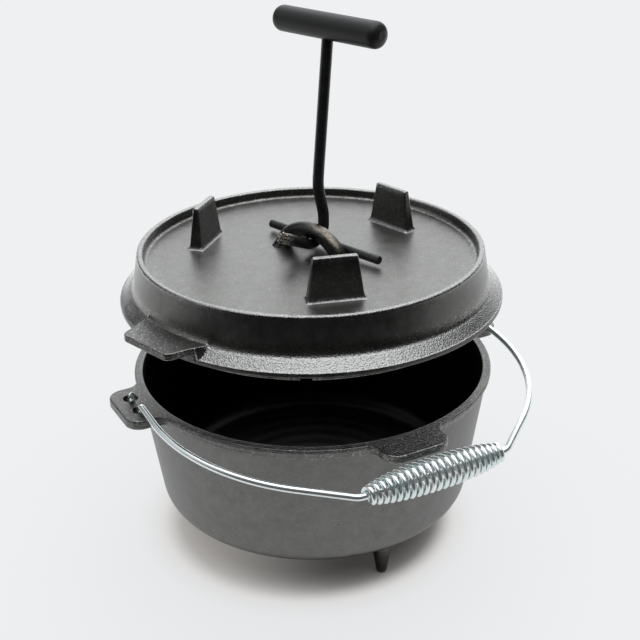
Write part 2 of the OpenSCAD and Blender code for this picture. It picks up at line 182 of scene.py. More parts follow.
# %% Boolean helper and smoothing
CREASE = np.radians(38)


def combine(piece, others, operation):
    """The piece with the other solids united with it or cut from it, as one mesh."""
    for other in others:
        step = piece.modifiers.new(operation, "BOOLEAN")
        step.operation = operation
        step.solver = "MANIFOLD"
        step.object = other
    graph = bpy.context.evaluated_depsgraph_get()
    mesh = bpy.data.meshes.new_from_object(piece.evaluated_get(graph))
    piece.modifiers.clear()
    mesh.materials.clear()
    piece.data = mesh
    for other in others:
        bpy.data.objects.remove(other)
    print(f"{piece.name} after {operation}: {len(mesh.polygons)} faces")
    return piece


def soften(piece):
    """Smooth shading with creases kept, and normals weighted by the area of each face."""
    piece.data.shade_smooth()
    piece.data.set_sharp_from_angle(angle=CREASE)
    weigh = piece.modifiers.new("area weighted normals", "WEIGHTED_NORMAL")
    weigh.keep_sharp = True
    return piece


# %% [markdown]
# # The pot
# A sand-cast pot has a wall that narrows downwards so that it leaves its mould, a rim that thickens,
# and four flat plates cast onto the rim: two ears with holes for the bail and two plain grips. Seen
# from above the rim is one outline. So the pot is a grid of columns, one for each outline point, and
# each column runs from the underside up the wall, round the rim's edge and down the inside.

# %% Pot sizes
rim_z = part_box("pot")[1].z / MM
ear_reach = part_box("pot")[1].x / MM
grip_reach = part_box("pot")[1].y / MM
foot_h, pot_in_r, wall_t, pot_draft = 23.5, 125, 4.2, 15
floor_t, base_round, floor_round = 5, 15, 12
rim_r, rim_band, root_fillet = 130.9, 4, 9
ear_half_w, ear_t, ear_corner = 25, 7, 11
grip_half_w, grip_t, grip_corner = 24.5, 6, 11.5
rim_edge, under_edge, under_fillet, under_rise, under_least = 1.1, 1.3, 6, 6, 0.05
under_fan, floor_fan, ripple_h, ripple_gap = 20, 16, 0.25, 14
pot_top_r = pot_in_r + wall_t
pot_lean = np.degrees(np.arctan(pot_draft / (rim_z - foot_h)))


def wall_r(z):
    """Outside radius of the wall at a height: it narrows evenly from the rim to the underside."""
    return pot_top_r - pot_draft * (rim_z - z) / (rim_z - foot_h)


base_flat_r = wall_r(foot_h + base_round) - base_round / np.cos(np.radians(pot_lean))
print(f"rim at {rim_z:.1f}, ears reach {ear_reach:.1f}, grips reach {grip_reach:.1f}")


# %% The rim seen from above
def half_plate(reach, half_w, corner):
    """Half of a rim plate along X: its outer edge, its corner arc, its side and the root fillet that
    runs into the rim circle."""
    root_x = np.sqrt((rim_r + root_fillet) ** 2 - (half_w + root_fillet) ** 2)
    root_a = np.degrees(np.arctan2(half_w + root_fillet, root_x))
    return root_a, join(
        line((reach, 0), (reach, half_w - corner), 7),
        arc(reach - corner, half_w - corner, corner, 0, 90, 11),
        line((reach - corner, half_w), (root_x, half_w), 5),
        arc(root_x, half_w + root_fillet, root_fillet, 270, 180 + root_a, 10))


ear_a, ear_half = half_plate(ear_reach, ear_half_w, ear_corner)
grip_a, grip_half = half_plate(grip_reach, grip_half_w, grip_corner)
rim = full_ring(join(ear_half, arc(0, 0, rim_r, ear_a, 90 - grip_a, 36), grip_half[::-1, ::-1]))
rim_n = outward(rim)
rim_reach = np.linalg.norm(rim, axis=1)
rim_dir = rim / rim_reach[:, None]
print(f"rim outline of {len(rim)} points, {rim_reach.min():.1f} to {rim_reach.max():.1f} from the axis")


# %% The pot's columns
def spokes(r, z):
    """A ring of points at a radius and a height along every column's direction from the axis."""
    return raised(rim_dir * np.broadcast_to(r, len(rim))[:, None], z)


def rows(profile):
    """Rings at each radius and height of a profile."""
    return np.stack([spokes(r, z) for r, z in profile])


def pot_grid():
    """Column by column: flat underside, base rounding, leaning wall, a fillet under the rim's plate,
    the plate's rounded edge, its flat top, the inside wall and the floor with its turning ripple, a
    cosine of the distance from the axis."""
    on_ear = np.abs(rim[:, 0]) > np.abs(rim[:, 1])
    plate = smooth((rim_reach - rim_r) / under_fillet)
    under_z = rim_z - mix(rim_band, np.where(on_ear, ear_t, grip_t), plate)
    base = join(line((under_fan, foot_h), (base_flat_r, foot_h), 7),
                arc(base_flat_r, foot_h + base_round, base_round, -90, -pot_lean, 12))
    rise = np.linspace(0, 1, 13)[1:]
    wall = [spokes(wall_r(z), z) for z in (mix(base[-1, 1], under_z - under_rise, t) for t in rise)]
    room = np.minimum(under_fillet, rim_reach - under_edge - wall_r(under_z) - under_least)
    fillet = [spokes(wall_r(under_z - under_rise * (1 - t) ** 2) + room * t ** 2,
                     under_z - under_rise * (1 - t) ** 2) for t in np.linspace(0, 1, 8)[1:]]
    inset = rim - under_edge * rim_n
    under = [raised(mix(fillet[-1][:, :2], inset, t), under_z) for t in (0.3, 0.6, 0.85, 1)]
    low = [raised(inset + under_edge * np.sin(a) * rim_n, under_z + under_edge * (1 - np.cos(a)))
           for a in QUARTER]
    high = [raised(rim - rim_edge * (1 - np.cos(a)) * rim_n, rim_z - rim_edge * (1 - np.sin(a)))
            for a in np.append(0, QUARTER)]
    mouth = spokes(pot_in_r + rim_edge, rim_z)
    top = [mix(high[-1], mouth, t) for t in (0.12, 0.35, 0.65, 0.9, 1)]
    floor_z = foot_h + floor_t
    floor_x = wall_r(floor_z + floor_round) - wall_t - floor_round / np.cos(np.radians(pot_lean))
    lip = arc(pot_in_r + rim_edge, rim_z - rim_edge, rim_edge, 90, 180, 6)[1:]
    bowl = arc(floor_x, floor_z + floor_round, floor_round, -pot_lean, -90, 10)
    inside = join(lip, line(lip[-1], bowl[0], 12), bowl, line(bowl[-1], (floor_fan, floor_z), 22))
    on_floor = inside[:, 0] < bowl[-1, 0]
    inside[on_floor, 1] += ripple_h * np.cos(2 * np.pi * inside[on_floor, 0] / ripple_gap)
    return np.concatenate([rows(base), wall, fillet, under, low, high, top, rows(inside)])


pot = closed_rings("pot_casting", pot_grid())

# %% [markdown]
# # Feet and ear holes
# The pot stands on three tapered feet that keep it above the embers. Each is a turned profile whose
# top spreads in a fillet and follows the rounded underside. The ear holes are cut with a turned
# cutter that widens at both ends, which rounds the holes' edges as a casting has them.

# %% Turned shapes
def turned(profile, at, sides):
    """Rings about an upright axis through the point at: radius and height pairs carried round."""
    ring = round_dir(np.arange(sides) * 360 / sides)
    return np.stack([raised(ring * r + np.array(at), z) for r, z in profile])


# %% Feet
foot_tip_r, foot_root_r, foot_round, foot_fillet, foot_at = 3.7, 6.5, 1.2, 5, 100
foot_turn, foot_lean, foot_plug, foot_sides = 30, 8, 1.2, 40


def underside_z(r):
    """Height of the pot's underside at a distance from the axis: flat, then the base rounding."""
    out = np.clip(r - base_flat_r, 0, base_round)
    return foot_h + base_round - np.sqrt(base_round ** 2 - out ** 2)


def foot_grid(direction):
    """A tapered foot: rounded tip, cone, then a fillet that hangs from the underside above it."""
    at = foot_at * round_dir(direction)
    tip = arc(foot_tip_r - foot_round, foot_round, foot_round, -90, -foot_lean, 5)
    shaft = join(tip, line(tip[-1], (foot_root_r, foot_h - foot_fillet), 6))
    low = turned(shaft, at, foot_sides)
    a = np.radians(np.linspace(0, 90, 9))[1:]
    flare = turned(np.column_stack([foot_root_r + foot_fillet * (1 - np.cos(a)), 0 * a]), at, foot_sides)
    roof = underside_z(np.linalg.norm(flare[..., :2], axis=-1))
    flare[..., 2] = roof - (foot_fillet * (1 - np.sin(a)))[:, None]
    plug = flare[-1:] + np.array([0, 0, foot_plug])
    return np.concatenate([low, flare, plug])


feet = [closed_rings(f"foot_{k}", foot_grid(foot_turn + 120 * k)) for k in range(3)]
combine(pot, feet, "UNION")

# %% Ear holes
hole_r, hole_at, hole_half_gap, hole_edge, hole_sides = 5, 139.4, 9.4, 0.7, 44


def hole_cutter():
    """Radius and height pairs of a hole whose two ends widen by a quarter round."""
    low = arc(hole_r + hole_edge, rim_z - ear_t + hole_edge, hole_edge, 270, 180, 6)
    high = arc(hole_r + hole_edge, rim_z - hole_edge, hole_edge, 180, 90, 6)
    ends = np.array([[0, hole_edge]])
    return np.vstack([low[:1] - ends, low, high, high[-1:] + ends])


spots = [(s * hole_at, t * hole_half_gap) for s in (-1, 1) for t in (-1, 1)]
cutters = [closed_rings(f"ear_hole_{k}", turned(hole_cutter(), spot, hole_sides))
           for k, spot in enumerate(spots)]
combine(pot, cutters, "DIFFERENCE")
soften(pot)

# %% [markdown]
# # The lid
# The lid is a second casting: a tray with a raised rim for embers, a skirt, a sloping flange with two
# grips, and below it a ring that keeps it on the pot. Its columns also follow an outline seen from
# above, but a grip stands higher than the flange beside it. There the columns lean along the grip's
# side, and a soft step in the height makes the side wall with its rounded edge and its fillet.

# %% Lid sizes
tilt_axis = joint("lifter_tilt")["axis"]
lid_turn = np.degrees(np.arctan2(tilt_axis[0], -tilt_axis[1]))
ring_h = 9
lid_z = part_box("lid")[0].z / MM + ring_h
flange_r, ridge_r, skirt_r, lid_top_r, tray_r = 136.4, 127.4, 126.2, 122.8, 118.2
ring_r, ring_in_r, ring_fillet, ring_edge, under_round = 122.5, 117.9, 0.8, 1, 8
flange_edge, ridge_h, skirt_foot, lid_h = 3.6, 10.7, 11.9, 36
tray_z, tray_round, under_plate = 28.5, 3, 23
lid_grip_r, lid_grip_tip, lid_grip_root, lid_grip_corner = 152, 18, 31, 6
lid_grip_low, lid_grip_top, lid_grip_neck, lid_grip_blend = 6.36, 11.36, 1.6, 2.5
lid_edge, seat_edge, seat_rise, bull_edge, lid_fan = 0.9, 0.9, 0.4, 1.7, 14
foot_rise, foot_in, foot_out, grip_fillet, grip_wall = 7, 0.9, 1.8, 3, 3
ring_mid = (ring_r + ring_in_r) / 2
print(f"lid seat at {lid_z:.1f}, grips turned by {lid_turn:.1f} degrees")

# %% The lid's outline
side_lean = np.arctan((lid_grip_root - lid_grip_tip - lid_grip_corner) / (lid_grip_r - ridge_r))
corner_end = arc(lid_grip_r - lid_grip_corner, lid_grip_tip, lid_grip_corner, 0,
                 90 - np.degrees(side_lean), 10)
side_start = np.array([ring_mid, lid_grip_root])
side_dir = unit(corner_end[-1] - side_start)
side_n = np.array([-side_dir[1], side_dir[0]])


def side_cross(r, gap):
    """Where a line beside the grip's side, at a gap from it, crosses a circle of radius r."""
    out = side_start @ side_n + gap
    return out * side_n + np.sqrt(r ** 2 - out ** 2) * side_dir


def angle_of(p):
    """Angle of a flat point from the X axis, in degrees."""
    return np.degrees(np.arctan2(p[1], p[0]))


def side_angle(r):
    """Angle at which the grip's side line crosses a circle of radius r about the axis."""
    return angle_of(side_cross(r, 0))


cross_a = side_angle(flange_r)
nook = side_cross(flange_r + grip_fillet, grip_fillet)
nook_arc = arc(*nook, grip_fillet, angle_of(-side_n), angle_of(-nook), 18)
plain_a = angle_of(nook) + np.cumsum(np.repeat([0.12, 0.3, 0.7], [10, 5, 3]))
plain_a = np.concatenate([plain_a, np.linspace(plain_a[-1], 90, 44)[1:]])
plain = flange_r * round_dir(plain_a)
lid_rim = full_ring(np.vstack([line((lid_grip_r, 0), (lid_grip_r, lid_grip_tip), 8)[:-1], corner_end,
                               line(corner_end[-1], nook_arc[0], 14)[1:], nook_arc[1:], plain]))
lid_n = outward(lid_rim)
lid_reach = np.linalg.norm(lid_rim, axis=1)
lid_a = np.degrees(np.arctan2(lid_rim[:, 1], lid_rim[:, 0]))
print(f"lid outline of {len(lid_rim)} points, the grip's side meets the flange at {cross_a:.1f} degrees")


# %% The lid's heights
def side_gap(plan):
    """Distance outside the nearer grip's side line, negative on the grip itself."""
    return np.abs(plan) @ side_n - side_start @ side_n


def flange_z(plan):
    """Height of the flange: an even slope from the ridge to the edge, with a soft step up to the grip
    where the side gap is under the wall's width."""
    out = (np.linalg.norm(plan, axis=-1) - ridge_r) / (flange_r - lid_edge - ridge_r)
    slope = mix(ridge_h, flange_edge, np.clip(out, 0, 1))
    return mix(slope, lid_grip_top, smooth(1 - side_gap(plan) / grip_wall))


shift_width = 9
near_side = np.exp(-((np.abs(np.abs(lid_a) - 90) - 90 + cross_a) / shift_width) ** 2)
ridge_shift = (side_angle(ridge_r) - cross_a) * near_side * np.sign(lid_rim[:, 0] * lid_rim[:, 1])
ridge_ring = round_dir(lid_a + ridge_shift)
edge_ring = lid_rim / lid_reach[:, None]


def lid_rows(profile, ring):
    """Rings at each radius and height of a profile, along the given directions from the axis."""
    return [raised(ring * r, z) for r, z in profile]


def lid_grid():
    """Column by column: tray, raised rim, skirt, flange or grip, the outer edge, the seat, the ring
    below it and the underside of the plate."""
    tray = join(line((lid_fan, tray_z), (tray_r - tray_round, tray_z), 12),
                arc(tray_r - tray_round, tray_z + tray_round, tray_round, -90, 0, 7),
                line((tray_r, tray_z + tray_round), (tray_r, lid_h - bull_edge), 3),
                arc(tray_r + bull_edge, lid_h - bull_edge, bull_edge, 180, 90, 7),
                line((tray_r + bull_edge, lid_h), (lid_top_r - bull_edge, lid_h), 3),
                arc(lid_top_r - bull_edge, lid_h - bull_edge, bull_edge, 90, 0, 7),
                line((lid_top_r, lid_h - bull_edge), (skirt_r - foot_in, skirt_foot + foot_rise), 9))
    top = lid_rows(tray, ridge_ring)
    start = raised(ridge_ring * (ridge_r + foot_out), flange_z(ridge_ring * (ridge_r + foot_out)))
    foot = raised(ridge_ring * skirt_r, flange_z(ridge_ring * ridge_r))
    skirt = [mix(mix(top[-1], foot, t), mix(foot, start, t), t) for t in np.linspace(0, 1, 12)[1:]]
    rim_in = lid_rim - lid_edge * lid_n
    slope = [mix(start[:, :2], rim_in, t) for t in np.linspace(0, 1, 16)[1:]]
    slope = [raised(plan, flange_z(plan)) for plan in slope]
    edge_z = slope[-1][:, 2]
    brow = [raised(rim_in + lid_edge * np.sin(a) * lid_n, edge_z - lid_edge * (1 - np.cos(a)))
            for a in QUARTER]
    grip = smooth((lid_reach - flange_r) / lid_grip_blend)
    plain_z = [mix(edge_z - lid_edge, seat_edge + seat_rise, t) for t in np.linspace(0, 1, 13)[1:]]
    chin = lid_grip_low + lid_edge
    hang = [raised(lid_rim, chin)]
    hang += [raised(lid_rim - lid_edge * (1 - np.cos(a)) * lid_n, chin - lid_edge * np.sin(a))
             for a in QUARTER]
    neck = np.minimum(flange_r + lid_grip_neck, lid_reach - lid_edge)
    hang += [raised(mix(hang[5][:, :2], edge_ring * neck[:, None], t), lid_grip_low) for t in (0.5, 1)]
    hang += [raised(edge_ring * mix(neck, flange_r, np.sin(a))[:, None],
                    lid_grip_low - lid_grip_neck * (1 - np.cos(a))) for a in QUARTER[1:]]
    hang = [mix(raised(lid_rim, z), h, grip[:, None]) for z, h in zip(plain_z, hang)]
    below = join(arc(flange_r - seat_edge, seat_edge, seat_edge, 0, -90, 6),
                 line((flange_r - seat_edge, 0), (ring_r + ring_fillet, 0), 4),
                 arc(ring_r + ring_fillet, -ring_fillet, ring_fillet, 90, 180, 4),
                 line((ring_r, -ring_fillet), (ring_r, ring_edge - ring_h), 4),
                 arc(ring_r - ring_edge, ring_edge - ring_h, ring_edge, 0, -90, 5),
                 line((ring_r - ring_edge, -ring_h), (ring_in_r + ring_edge, -ring_h), 3),
                 arc(ring_in_r + ring_edge, ring_edge - ring_h, ring_edge, 270, 180, 5),
                 line((ring_in_r, ring_edge - ring_h), (ring_in_r, under_plate - under_round), 6),
                 arc(ring_in_r - under_round, under_plate - under_round, under_round, 0, 90, 9),
                 line((ring_in_r - under_round, under_plate), (lid_fan, under_plate), 9))
    return np.stack(top + skirt + slope + brow + hang + lid_rows(below, edge_ring))


def on_lid(points, turn):
    """Lid coordinates into the frame: turned about the axis and lifted to the lid's seat."""
    return turn_z(points, turn) + np.array([0, 0, lid_z])


lid = closed_rings("lid_casting", on_lid(lid_grid(), lid_turn))

# %% [markdown]
# # Lugs, loop and notch
# Three tapered lugs let the lid stand upside down as a griddle, and a cast loop in the middle takes
# the lifter's hook. A lug is a stack of rounded rectangles that spreads at its foot. The loop is a
# bar carried along an arc, and its legs swell where they run into the plate. A notch in the ring
# lets a probe reach under the closed lid.

# %% Lugs
lug_h, lug_w, lug_top_w, lug_t, lug_top_t = 30, 38, 30, 9.4, 4.2
lug_at, lug_foot, lug_spread, lug_sink, lug_roll, lug_corner = 81, 3.6, 2.3, 2, 1, 1.1
lug_turn = lid_turn + 236


def rounded_box(w, t, r):
    """A rounded rectangle: four corner arcs with straight runs between, thickness along X."""
    corner = arc(t / 2 - r, w / 2 - r, r, 0, 90, 6)
    quarter = np.vstack([line((t / 2, 0), corner[0], 5)[:-1], corner,
                         line(corner[-1], (0, w / 2), 3)[1:]])
    return full_ring(quarter)


def lug_grid():
    """Rounded rectangles stacked upwards: the foot's spread shrinks as a quarter round, the faces
    taper evenly and the top edge rolls in."""
    z = np.concatenate([[-lug_sink], lug_foot * (1 - np.cos(np.radians(np.linspace(0, 90, 9)))),
                        np.linspace(lug_foot, lug_h - lug_roll, 9)[1:]])
    out = lug_spread * (1 - np.sqrt(1 - np.clip(1 - z / lug_foot, 0, 1) ** 2))
    share = np.clip(z / lug_h, 0, 1)
    z = np.append(z, lug_h - lug_roll * (1 - np.sin(QUARTER)))
    out = np.append(out, lug_roll * (np.cos(QUARTER) - 1))
    share = np.append(share, np.ones(len(QUARTER)))
    widths = mix(lug_w, lug_top_w, share) + 2 * out
    depths = mix(lug_t, lug_top_t, share) + 2 * out
    body = [raised(rounded_box(w, t, lug_corner), h) for w, t, h in zip(widths, depths, z)]
    top = body[-1]
    inner = [mix(top.mean(0), top, t) for t in (0.8, 0.4)]
    return np.stack(body + inner)


def lug(turn):
    """One lug in its place on the plate, across the radius."""
    return closed_rings("lug", on_lid(lug_grid() + np.array([lug_at, 0, tray_z]), turn))


lugs = [lug(lug_turn + 120 * k) for k in range(3)]
print(f"{len(lugs)} lugs of {lug_h} mm, the first at {lug_turn:.1f} degrees")

# %% [markdown]
# # Bars and wires
# The loop, the bail, the coil and the lifter are all round stock, bent. A curve with a bevel could give
# each of them. Carrying a ring along an array of points does the same, and it also lets a bar swell, or
# end in a torn face.

# %% Tubes along a path
TIP_ANGLES = np.radians([85, 60, 35, 12])
TIP_RINGS = len(TIP_ANGLES)
X_WAY, Y_WAY, Z_WAY = np.eye(3)


def tube(path, side, radius, sides, tip=0.6):
    """Rings round a path. Each ring lies across the path, on the side vector and on its cross product
    with the path's direction, and the ends roll in by a small rounding."""
    ahead = unit(np.gradient(path, axis=0))
    radius = np.broadcast_to(np.asarray(radius, float), len(path))
    side = np.broadcast_to(side, path.shape)
    first = path[0] - np.outer(tip * np.sin(TIP_ANGLES), ahead[0])
    last = path[-1] + np.outer(tip * np.sin(TIP_ANGLES[::-1]), ahead[-1])
    shrink = tip * (1 - np.cos(TIP_ANGLES))
    path = np.vstack([first, path, last])
    radius = np.concatenate([radius[0] - shrink, radius, radius[-1] - shrink[::-1]])
    ahead, side = [np.pad(way, ((TIP_RINGS, TIP_RINGS), (0, 0)), "edge") for way in (ahead, side)]
    across = unit(np.cross(ahead, side))
    over = np.cross(across, ahead)
    turn = round_dir(np.arange(sides) * 360 / sides)[None, :, :, None]
    ring = turn[:, :, 0] * across[:, None, :] + turn[:, :, 1] * over[:, None, :]
    return path[:, None, :] + radius[:, None, None] * ring


print(f"each tube end rolls in over {TIP_RINGS} rings")

# %% Loop and notch
loop_d, loop_r, loop_h, loop_start = 11.5, 29.5, 17.4, 18
loop_swell, swell_h, level_h, loop_sides = 2.2, 6, 7, 36
loop_mid, loop_turn = tray_z + loop_h - loop_r, lid_turn - 85
notch_w, notch_h, notch_t, notch_corner, notch_below = 8, 6, 12, 1.5, 3
notch_turn = lid_turn - 137


def loop_grid():
    """A round bar along an arc that stands on the plate. The bar swells near the plate, and its rings
    turn level there, so that its ends stay inside the plate."""
    flat = arc(0, loop_mid, loop_r, loop_start, 180 - loop_start, 57)
    above = flat[:, 1] - tray_z
    swell = loop_swell * np.clip(1 - above / swell_h, 0, 1) ** 2
    path = np.insert(flat, 1, 0, axis=1)
    grid = tube(path, Y_WAY, loop_d / 2 + swell, loop_sides)
    middle = np.pad(flat[:, 1], TIP_RINGS, "edge")[:, None]
    tipped = np.pad(smooth(above / level_h), TIP_RINGS, "edge")[:, None]
    grid[..., 2] = mix(middle, grid[..., 2], tipped)
    return grid


loop = closed_rings("loop", on_lid(loop_grid(), loop_turn))
combine(lid, lugs + [loop], "UNION")
notch_box = rounded_box(notch_w, notch_t, notch_corner) + np.array([ring_mid, 0])
notch = np.stack([raised(notch_box, z) for z in (-ring_h - notch_below, notch_h - ring_h)])
combine(lid, [closed_rings("notch", on_lid(notch, notch_turn))], "DIFFERENCE")
soften(lid)

# %% [markdown]
# # The bail
# The bail is one bent wire. Each end passes down through one ear hole, turns under the ear and comes
# up through the next, so it can swing. A curve object would do, but a path of lines and arcs with a
# ring carried along it keeps every bend radius exact. Only half is worked out, the rest is its mirror.

# %% The bail's path
wire_r, bail_sag, neck_r, tail_turn = 2.4, 5, 4.5, 50
grip_bend_r, grip_bend, shoulder_r, wire_sides, wire_tip = 10, 38, 135, 24, 0.8
bail_z = joint("bail_swing")["pos_m"][2] / MM
sag_c, sag_s = round_dir(bail_sag)
spin_y, spin_z = np.array(joint("bail_grip_spin")["pos_m"][1:]) / MM - np.array([0, bail_z])
bail_reach = -(spin_y * sag_c + spin_z * sag_s)
bail_rise = spin_z * sag_c - spin_y * sag_s


def on_bail(points):
    """Bail coordinates into the frame: tipped about X by the sag, at the height of the pin line."""
    tipped = points @ np.array([[1, 0, 0], [0, sag_c, sag_s], [0, -sag_s, sag_c]])
    return tipped + np.array([0, 0, bail_z])


print(f"bail reaches {bail_reach:.2f} and stands {bail_rise:.2f} above the pin line")

# %% The bail's half
coil_d, coil_n, coil_end_pitch, coil_pitch = 3.2, 22, 3.8, 4.9
coil_end_r, coil_mid_r, coil_swell, coil_end_gap = 4.708, 9.65, 2.5, 0.6
curl_steps, coil_sides, coil_tip = 40, 16, 0.6
coil_open = coil_pitch - coil_end_pitch
coil_half_l = coil_n / 2 * (coil_end_pitch + coil_open * coil_swell / (coil_swell + 1))
grip_half_l = coil_half_l + coil_d / 2 + coil_end_gap


def bail_half():
    """From the grip's middle out to the tail: straight, a bend, a slant, the shoulder, a straight leg,
    the neck, the drop through the hole and the turn under the ear. Also the side vector of each point:
    upright on the flat part, across the hook's plane after the neck."""
    bend = arc(grip_half_l, grip_bend_r - bail_reach, grip_bend_r, -90, grip_bend - 90, 12)
    bend_c, bend_s = round_dir(grip_bend)
    slant_w = hole_at - bend[-1, 0] - shoulder_r * (1 - bend_s)
    slant_end = bend[-1] + slant_w * np.array([1, bend_s / bend_c])
    leg_y = slant_end[1] + shoulder_r * bend_c
    flat = join(line((0, -bail_reach), (grip_half_l, -bail_reach), 14), bend,
                line(bend[-1], slant_end, 10),
                arc(hole_at - shoulder_r, leg_y, shoulder_r, grip_bend - 90, 0, 40),
                line((hole_at, leg_y), (hole_at, -hole_half_gap - neck_r), 7))
    hook = join(arc(hole_half_gap + neck_r, bail_rise - neck_r, neck_r, 90, 180, 12),
                line((hole_half_gap, bail_rise - neck_r), (hole_half_gap, 0), 4),
                arc(0, 0, hole_half_gap, 0, -180 - tail_turn, 44))[1:]
    run = np.column_stack([flat, np.full(len(flat), bail_rise)])
    drop = np.column_stack([np.full(len(hook), hole_at), -hook[:, 0], hook[:, 1]])
    path = np.vstack([run, drop])
    ahead = unit(np.gradient(path, axis=0))
    side = np.cross(X_WAY, ahead)
    side[:len(run)] = Z_WAY
    return path, side


half_path, half_side = bail_half()
mirror = np.array([-1, 1, 1])
bail_path = np.vstack([(half_path * mirror)[::-1], half_path[1:]])
bail_side = np.vstack([(half_side * mirror)[::-1], half_side[1:]])
bail = closed_rings("bail_bent_wire", on_bail(tube(bail_path, bail_side, wire_r, wire_sides, wire_tip)))
soften(bail)

# %% [markdown]
# # The wound grip
# A thinner wire is wound round the bail's straight middle, wide in the middle and tight at the ends,
# so that the grip stays cool to hold. Its centre line is a helix whose radius and rise depend on the
# distance from the middle. The wire is then carried along it as a tube, as for the bail.

# %% The coil
def coil_path(count):
    """A helix along X: the radius falls from the middle to the ends with a power of the share u from
    the middle, and the rise of each curl closes up the same way."""
    t = np.linspace(0, 1, count)
    u = 2 * t - 1
    drop = np.abs(u) ** coil_swell
    x = coil_n / 2 * (coil_end_pitch * u + coil_open * (u - u * drop / (coil_swell + 1)))
    r = coil_end_r + (coil_mid_r - coil_end_r) * (1 - drop)
    a = 2 * np.pi * coil_n * t
    return np.column_stack([x, r * np.cos(a), r * np.sin(a)])


helix = coil_path(coil_n * curl_steps + 1)
run_out = coil_d * unit(np.array([coil_end_pitch / (2 * np.pi * coil_end_r), 0, 1]))
helix = np.vstack([line(helix[0] - run_out, helix[0], 5)[:-1], helix,
                   line(helix[-1], helix[-1] + run_out, 5)[1:]])
coil_grid = tube(helix, X_WAY, coil_d / 2, coil_sides, coil_tip)
coil = closed_rings("bail_wound_grip", on_bail(coil_grid + np.array([0, -bail_reach, bail_rise])))
soften(coil)

# %% [markdown]
# # The lid lifter
# The lifter is a bent steel rod: a hook that grips the loop, a jog, a straight shank and a handle
# across its top. A thinner bar is welded across the hook's back and rests on the lid, so that the lid
# can't tip. All of it lies in one plane, so the rod's path is flat lines and arcs. The hook's open end
# was torn off its stock, which a ragged last few rings give.

# %% The rod's path
rod_r, hook_r, hook_rise, hook_end = 4, 12.05, 25, 26
hook_at = np.array([1.2, tray_z + loop_h + 1.6])
neck_l, jog_lean, jog_l, jog_in_r, jog_out_r, shank_lean, shank_l = 4.5, 14, 12.6, 22, 40, 6.4, 103
tip_a = -90 - hook_rise


def step_on(p, lean, length):
    """The point a length further from p, leaning from the upright by an angle towards +X."""
    return p + length * round_dir(90 - lean)


hook = arc(*hook_at, hook_r, tip_a, 0, 36)
tip_way = round_dir(tip_a - 90)
neck = hook[-1] + np.array([0, neck_l])
jog_in = arc(neck[0] - jog_in_r, neck[1], jog_in_r, 0, jog_lean, 10)
jog_end = step_on(jog_in[-1], -jog_lean, jog_l)
out_at = jog_end + jog_out_r * round_dir(jog_lean)
jog_out = arc(*out_at, jog_out_r, 180 + jog_lean, 180 - shank_lean, 12)
shank_end = step_on(jog_out[-1], shank_lean, shank_l)
rod_flat = join(line(hook[0] + hook_end * tip_way, hook[0], 16), hook, line(hook[-1], neck, 4), jog_in,
                line(jog_in[-1], jog_end, 6), jog_out, line(jog_out[-1], shank_end, 24))
print(f"rod path of {len(rod_flat)} points up to height {shank_end[1] + lid_z:.1f}")


# %% The rod and its torn end
def upright(flat, y):
    """Points of the lifter's plane as points in space, at a distance y beside the plane."""
    return np.insert(np.broadcast_to(flat, (np.size(y), 2)), 1, y, axis=1)


rod_sides, rod_tip, torn_rings, torn_least = 28, 1.0, 7, 0.1
torn_reach = np.array([0.75, 0.6, 0.7])
rod_grid = tube(upright(rod_flat, np.zeros(len(rod_flat))), Y_WAY, rod_r, rod_sides, rod_tip)
ragged = np.random.default_rng(7)
torn = ragged.normal(0, 1, (torn_rings, rod_sides, 3)) * torn_reach
rod_grid[:torn_rings] += torn * np.linspace(1, torn_least, torn_rings)[:, None, None]
rod = closed_rings("lifter_rod", on_lid(rod_grid, lid_turn))
soften(rod)

# %% [markdown]
# # Crossbar and weld beads
# The crossbar is a short rod. It sinks a little into the hook's back, as a welded rod does, and a bead
# lies along each side of the seam. A bead is a thin tube that follows the hook's round back and swells
# and shrinks along its length. Sculpting it would take longer and look no truer at this size.

# %% The crossbar
cross_d, cross_l, cross_sink, cross_at_a, cross_tip = 6.2, 106, 1, -50, 0.7
cross_out = hook_r + rod_r + cross_d / 2 - cross_sink
cross_mid = hook_at + cross_out * round_dir(cross_at_a)
cross_path = upright(cross_mid, np.linspace(-cross_l / 2, cross_l / 2, 40))
cross_grid = tube(cross_path, X_WAY, cross_d / 2, rod_sides, cross_tip)
crossbar = closed_rings("lifter_cross_rod", on_lid(cross_grid, lid_turn))
soften(crossbar)

# %% The weld beads
weld_half_l, weld_sink, weld_turn, weld_r, weld_ripple, weld_wave = 3.3, 0.2, 8.5, 1.45, 0.16, 5.2
weld_sides, weld_tip = 16, 0.9


def weld_grid(side):
    """A rippled bead across the hook's back, beside the cross rod: it follows the rod's round surface,
    hook radius plus the root of rod radius squared less y squared, turned a little along the hook."""
    y = np.linspace(-weld_half_l, weld_half_l, 34)
    out = hook_r + np.sqrt(rod_r ** 2 - y ** 2) - weld_sink
    way = round_dir(cross_at_a + side * weld_turn)
    path = upright(hook_at + out[:, None] * way, y)
    swell = weld_ripple * np.sin(weld_wave * y)
    return tube(path, np.insert(way, 1, 0), weld_r + swell, weld_sides, weld_tip)


beads = [closed_rings(f"lifter_weld_{k}", on_lid(weld_grid(side), lid_turn))
         for k, side in enumerate((-1, 1))]
weld = combine(beads[0], beads[1:], "UNION")
weld.name = "lifter_weld"
soften(weld)

# %% [markdown]
# # The lifter's handle
# The grip lies across the top of the shank. It is a plain round bar with rounded ends, so its radius is
# one formula of the place along it, and the same tube helper turns that into a surface.

# %% The handle
handle_l, handle_r, handle_round, handle_seat = 96, 9, 6, 10
handle_steps, handle_sides, handle_tip, round_share = 81, 40, 0.05, 0.998
handle_mid = step_on(shank_end, shank_lean, handle_r - handle_seat)


